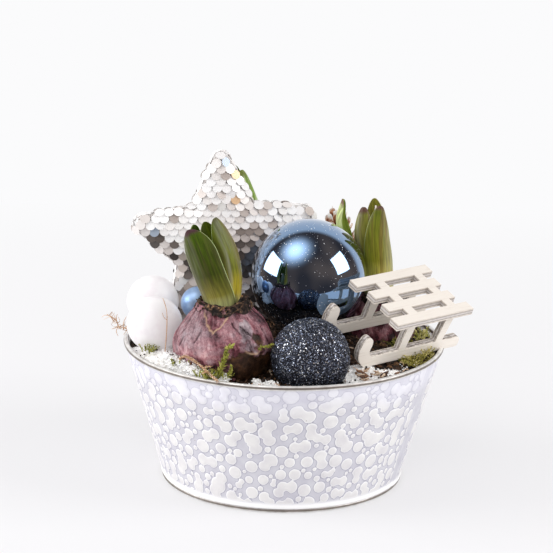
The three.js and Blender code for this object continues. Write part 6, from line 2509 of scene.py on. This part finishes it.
@dataclass
class Litter:
    """Loose bits on the snow: bark chips, curled fibres and a strip of snow along the front rim."""

    ground: Ground
    chips: int = 30
    heap_ends: tuple = (45, 68)
    heap_front: float = -69
    curls: int = 26
    seed: int = 90
    rim_grains: int = 1500
    rim_reach: float = 95.4
    rim_span: tuple = (-146, -24)
    rim_bare: tuple = (-94, -62)
    banks: tuple = (
        ((-72, -60, 96.5), (-34, -86, 89.5), 3400, 3.6), ((-31, -89, 83.6), (-6, -90, 86.2), 800, 2.2),
        ((-16, -85, 86.9), (-6, -87, 86.6), 460, 1.9),
    )

    def flake(self, made: Cluster, random: Random, at: Array, long: float, wide: float, tone: float) -> None:
        """Add one bark flake with a broken outline.

        Args:
            made: What it is added to.
            random: Where its chances come from.
            at: Its middle.
            long: Its length.
            wide: Its width.
            tone: Its tone.
        """
        count = 7
        turn = steps_round(count)[:, None]
        ring = np.hstack([np.cos(turn) * long / 2, np.sin(turn) * wide / 2]) * random.uniform(0.7, 1.15, (count, 1))
        thick = random.uniform(0.5, 1.1)
        shape = np.vstack([join(*ring.T, thick / 2), join(*ring.T * 0.9, -thick / 2)])
        facing = join(random.normal() * 0.3, random.normal() * 0.3, 1)[None]
        tilt = turned(facing, np.array([random.uniform(0, FULL_TURN)]))[0]
        ring_index = list(range(count))
        sides = [[k, k + count, (k + 1) % count + count, (k + 1) % count] for k in ring_index]
        made.add(shape @ tilt.T + at, [ring_index, [k + count for k in ring_index[::-1]], *sides], tone=tone)

    def bark(self) -> Piece:
        """Build the heap of bark chips at the right front.

        Returns:
            The piece.
        """
        random = np.random.default_rng(self.seed)
        made = Cluster()
        for k in range(self.chips):
            share = k / (self.chips - 1)
            x = mix(*self.heap_ends, share) + random.normal() * 1.4
            y = self.heap_front + 4 * math.sin(share * 14) + random.normal() * 3.0
            z = self.ground.soil_top(x, y) + 3.6 + random.uniform(-1.2, 1.6)
            at = self.ground.inside(join(x, y, z), 3.0)
            long, wide = random.uniform(3, 7.5), random.uniform(1.0, 2.6)
            self.flake(made, random, at, long, wide, random.uniform(0.15, 0.9))
        return made.mesh("bark_heap", PINE_BARK, is_smooth=False)

    def fibres(self) -> Piece:
        """Build the orange fibres that lie about on the snow and by the rim.

        Returns:
            The piece.
        """
        random = np.random.default_rng(self.seed + 1)
        made = Cluster()
        spots = [(-9.8, -87.5, 85.5), (-3, -91, 86), (38, -88, 85.5), (50, -80, 86.5), (60, -70, 87.5)]
        for _ in range(self.curls):
            x, y, _ = polar(math.radians(random.uniform(-150, -28)), random.uniform(72, 92))
            spots.append((x, y, self.ground.soil_top(x, y) + 2.4))
        for start in np.array(spots):
            way = unit(random.normal(size=3) * [1, 1, 0.45])
            length = random.uniform(3, 8)
            bow = random.normal(size=3) * [0.9, 0.9, 0.5]
            half = way * length / 2
            line = np.array([start - half, start + bow * 0.8 + [0, 0, 0.7], start + half + [0, 0, 0.3]])
            line = self.ground.inside(line, 1.2)
            made.add(*tube(Path(line), np.linspace(0.36, 0.16, 7), 5), tone=random.uniform(0.1, 0.9))
        return made.mesh("bark_curls", DRY_TWIG)

    def rim_snow(self) -> None:
        """Strew the thin line of snow grains along the front rim."""
        random = np.random.default_rng(self.seed + 2)
        angle = np.radians(random.uniform(*self.rim_span, self.rim_grains))
        low, high = np.radians(self.rim_bare)
        angle = angle[(angle < low) | (angle > high)]
        count = len(angle)
        x, y, _ = polar(angle, self.rim_reach - np.abs(random.normal(size=count)) * 4.2).T
        places = join(x, y, self.ground.soil_top(x, y) + 0.8 + random.uniform(-0.5, 1.2, count))
        places = self.ground.inside(places, 1.3)
        strew, seed = self.ground.strew, self.seed + 3
        strew("rim_snow_grains", SNOW_FLOCK, "snow", places, (0.7, 2.0), seed, FLAT_GRAIN, (0.45, 1.0))

    def bank(self) -> None:
        """Heap loose snow between the front bulb, the glitter ball and the rim."""
        random = np.random.default_rng(self.seed + 4)
        heaps = []
        for start, end, count, spread in self.banks:
            share = random.random(count)
            middle = mix(start[1], end[1], share**0.8)
            x = mix(start[0], end[0], share) + random.normal(size=count) * 1.5
            y = middle + random.normal(size=count) * spread
            top = mix(start[2], end[2], share) + 1.2 * noise(join(x, y, 0), 6, 12)
            floor = self.ground.soil_top(x, y)
            rise = np.maximum(top - 0.05 * (y - middle) ** 2, floor)
            heaps.append(join(x, y, mix(floor, rise, random.random(count) ** 0.5)))
        places = self.ground.inside(np.vstack(heaps), 1.6)
        places[:, :2] *= np.minimum(1, 94.4 / np.hypot(places[:, 0], places[:, 1]))[:, None]
        strew = self.ground.strew
        lumps, specks = places[::4] - [0, 0, 1.6], places[::75] + [0, 0, 0.7]
        strew("snow_bank_lumps", SNOW_FLOCK, "snow", lumps, (2.4, 4.4), 96, tones=(0.3, 1.0))
        strew("snow_bank_specks", SOIL_MIX, "soil", specks, (0.9, 3.0), 98)
        strew("snow_bank_grains", SNOW_FLOCK, "snow", places, (0.8, 2.3), self.seed + 5, FLAT_GRAIN, (0.4, 1.0))

    def build(self) -> None:
        """Build and seat the bark, the fibres and the snow grains."""
        seat(self.bark(), "twig", "bark_chips")
        seat(self.fibres(), "twig")
        self.rim_snow()
        self.bank()


# The studio.


class Softbox(Enum):
    """A softbox: its turn about the planter and height in degrees, size, power, distance, and if mirrors show it."""

    LEFT = (-86.0, 20.0, (1.05, 0.75), 13.0, 1.5, True)
    RIGHT = (76.0, 28.0, (0.85, 0.8), 10.5, 1.5, True)
    FRONT = (-12.0, 24.0, (1.2, 0.8), 6.5, 2.0, False)


@dataclass
class Studio:
    """A pale floor and backdrop, three softboxes and the camera."""

    distance: float = 1500.0
    camera_height: float = 540.209
    focal: float = 2507.945
    picture: float = 553.0
    pitch: float = 0.268290
    roll: float = 0.0192898
    yaw: float = -0.0035379
    sensor: float = 36.0
    backdrop: str = "#FBFBFC"
    fill: str = "#E0E0E2"
    room: tuple = ((0.38, "#5A4C48"), (0.68, "#9A7864"))
    floor_ends: tuple = (-0.36, 3.0)
    umbrella: tuple = (-57.0, 60.0)
    umbrella_glow: float = 3.4
    behind: tuple = (0.34, 0.56)
    aim_height: float = 0.1
    half_width: float = 0.5

    def camera(self) -> None:
        """Stand the camera where the photo was taken from."""
        ahead = Vector((math.sin(self.yaw), math.cos(self.yaw), 0))
        level = Vector((math.cos(self.yaw), -math.sin(self.yaw), 0))
        upright = Vector((0, 0, 1))
        up = ahead * math.sin(self.pitch) + upright * math.cos(self.pitch)
        forward = ahead * math.cos(self.pitch) - upright * math.sin(self.pitch)
        right = level * math.cos(self.roll) + up * math.sin(self.roll)
        top = up * math.cos(self.roll) - level * math.sin(self.roll)
        data = bpy.data.cameras.new("camera")
        data.sensor_width = self.sensor
        data.lens = self.focal / self.picture * self.sensor
        data.clip_start, data.clip_end = 0.05, 50.0
        camera = bpy.data.objects.new("camera", data)
        matrix = Matrix((right, top, -forward)).transposed().to_4x4()
        matrix.translation = Vector((0, -self.distance * MM, self.camera_height * MM))
        camera.matrix_world = matrix
        bpy.context.scene.collection.objects.link(camera)
        bpy.context.scene.camera = camera

    def aim(self, turn: float, height: float) -> Vector:
        """Give the way from the planter at a turn from the camera's side and a height, both in degrees."""
        turn, height = math.radians(turn), math.radians(height)
        return Vector((math.sin(turn) * math.cos(height), -math.cos(turn) * math.cos(height), math.sin(height)))

    def stand(self, softbox: Softbox) -> None:
        """Stand one softbox round the planter.

        Args:
            softbox: Which one.
        """
        turn, height, size, power, distance, is_mirrored = softbox.value
        name = f"{softbox.name.lower()}_softbox"
        data = bpy.data.lights.new(name, "AREA")
        data.shape = "RECTANGLE"
        data.size, data.size_y = size
        data.energy = power
        light = bpy.data.objects.new(name, data)
        way = self.aim(turn, height)
        light.location = Vector((0, 0, self.aim_height)) + way * distance
        light.visible_glossy = is_mirrored
        light.rotation_mode = "QUATERNION"
        light.rotation_quaternion = (-way).to_track_quat("-Z", "Y")
        bpy.context.scene.collection.objects.link(light)

    def surroundings(self) -> None:
        """Light the scene from all round, and let mirrors see a white backdrop behind and a dim room in front."""
        world = bpy.data.worlds.new("studio")
        world.use_nodes = True
        tree = world.node_tree
        tree.nodes.clear()
        way = add(tree, "TexCoord", out="Generated")
        split = add(tree, "SeparateXYZ", way, out="Y")
        behind = add(tree, "MapRange", split, *self.behind, interpolation_type="SMOOTHSTEP")
        blur = add(tree, "TexNoise", way, 1.3, 0.0)
        dim = add(tree, "ValToRGB", blur, stops=self.room)
        room = add(tree, "Mix", behind, dim, self.backdrop)
        near = add(tree, "VectorMath", way, self.aim(*self.umbrella), operation="DOT_PRODUCT")
        lit = add(tree, "MapRange", near, 0.7, 1.0)
        steep = add(tree, "Math", lit, 4.0, operation="POWER")
        glow = add(tree, "Math", steep, self.umbrella_glow, operation="MULTIPLY")
        room = add(tree, "Mix", 1.0, room, glow, blend_type="ADD")
        is_camera = add(tree, "LightPath", out="Is Camera Ray")
        soft = add(tree, "Mix", is_camera.node.outputs["Is Diffuse Ray"], room, self.fill)
        colour = add(tree, "Mix", is_camera, soft, self.backdrop)
        add(tree, "OutputWorld", add(tree, "Background", colour, 1.0))
        bpy.context.scene.world = world

    def floor(self) -> None:
        """Lay the pale floor, which ends just in front of the picture, where the room is dim."""
        near, far = (end / MM for end in self.floor_ends)
        side = self.half_width / MM
        corners = [[-side, near, 0], [side, near, 0], [side, far, 0], [-side, far, 0]]
        floor = Cluster().add(corners, [[0, 1, 2, 3]]).mesh("floor", PaintedFloor("white_card", self.backdrop))

    def build(self) -> None:
        """Set up the camera, the lights and the floor."""
        self.camera()
        self.surroundings()
        self.floor()
        for softbox in Softbox:
            self.stand(softbox)
        view = bpy.context.scene.view_settings
        view.view_transform = "Standard"
        view.exposure = 0.0


def main() -> None:
    """Build the planter, piece by piece, and light it."""
    logging.basicConfig(level=logging.INFO, format="%(name)s: %(message)s")
    pot = Pot()
    ground = Ground(pot)
    pot.build()
    ground.build()
    Snow("snow_bed_left", "snow_left", ground, 3, (-70, -27), (26, 44), 3.2, 2.2, ((-74, -45), 4, 10), 1500).build()
    Snow("snow_bed_right", "snow_right", ground, 8, (52, -62), (24, 17), 1.6, 2.2, ((56, -48), 1, 8), 900).build()
    for plant in (front_hyacinth(), right_hyacinth(), rear_hyacinth()):
        plant.build()
    Star().build()
    # The pearls glow by lift: painted light that lightens their shaded side.
    pearl = Lacquer("pearl_lacquer", "#D4D1D2", "#CCC6C9", 0.35, coat=0.2, glow=0.6, lift=0.34)
    glass = SilveredGlass("silvered_blue_glass")
    Ball("shiny_ball", "ball_large", (14.9, 8, 126.0), 36.3, "blue_glass", glass, 4.3).build()
    GlitterBall(
        "glitter_ball", "ball_glitter", (16.2, -68.2, 97), 23.4, "glitter",
        Lacquer("navy_glue_coat", "#10141F", "#0B0D15", 0.6), 4.0, rows=64,
    ).build()
    Ball("pearl_ball_front", "pearl_front", (-79.4, -25, 103), 17.1, "pearl", pearl, rows=64).build()
    Ball("pearl_ball_rear", "pearl_rear", (-82.6, 12, 106.9), 16.3, "pearl", pearl, rows=64).build()
    blue = Lacquer("matt_blue_lacquer", "#9DB8DA", "#86A3CB", 0.42, metallic=0.7)
    Ball("small_blue_ball", "ball_small", (-53.8, -12, 113.2), 10.2, "matt_blue", blue, rows=48).build()
    hidden = ("ball_large_cap", "ball_glitter_cap", "pearl_front_wire", "pearl_rear_wire", "ball_small_wire")
    DrawnWire("drawn_steel").dress(*(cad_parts[node] for node in hidden))
    PineCone().build()
    Sled().build()
    for name, node, seed, centre, size, height, lift, shoots, tones, finish in (
        ("moss_cushion_right", "moss_right", 41, (80.5, -33.5), (8, 6.5), 2.2, 0.6, 60, (0.3, 0.9), DRIED_MOSS),
        ("moss_cushion_under_sled", "moss_under_sled", 42, (77, -7), (9, 8), 3, 0.6, 70, (0.25, 0.75), LIVING_MOSS),
        ("moss_by_right_rim", "", 46, (87, -21), (4.6, 11), 1.6, 3.2, 40, (0.5, 1.0), DRIED_MOSS),
        ("moss_behind_runner", "", 47, (88, 6), (5, 6), 3, 5.0, 24, (0.45, 1.0), LIVING_MOSS),
        ("moss_tuft_front", "moss_front", 43, (-43, -84), (12, 4.6), 2.6, 4.9, 44, (0.25, 0.75), LIVING_MOSS),
        ("moss_bits_in_snow", "", 45, (-62, -69), (9, 3.2), 1.0, 8.8, 14, (0.25, 0.75), LIVING_MOSS),
        ("moss_tuft_left", "moss_left", 44, (-83.6, -42), (4.4, 3.4), 2.4, 7.6, 11, (0.25, 0.75), LIVING_MOSS),
    ):
        Moss(name, node, ground, seed, centre, size, height, lift, shoots, tones, finish).build()
    for twig in TWIGS:
        twig.build()
    Litter(ground).build()
    Studio().build()


if __name__ == "__main__":
    main()
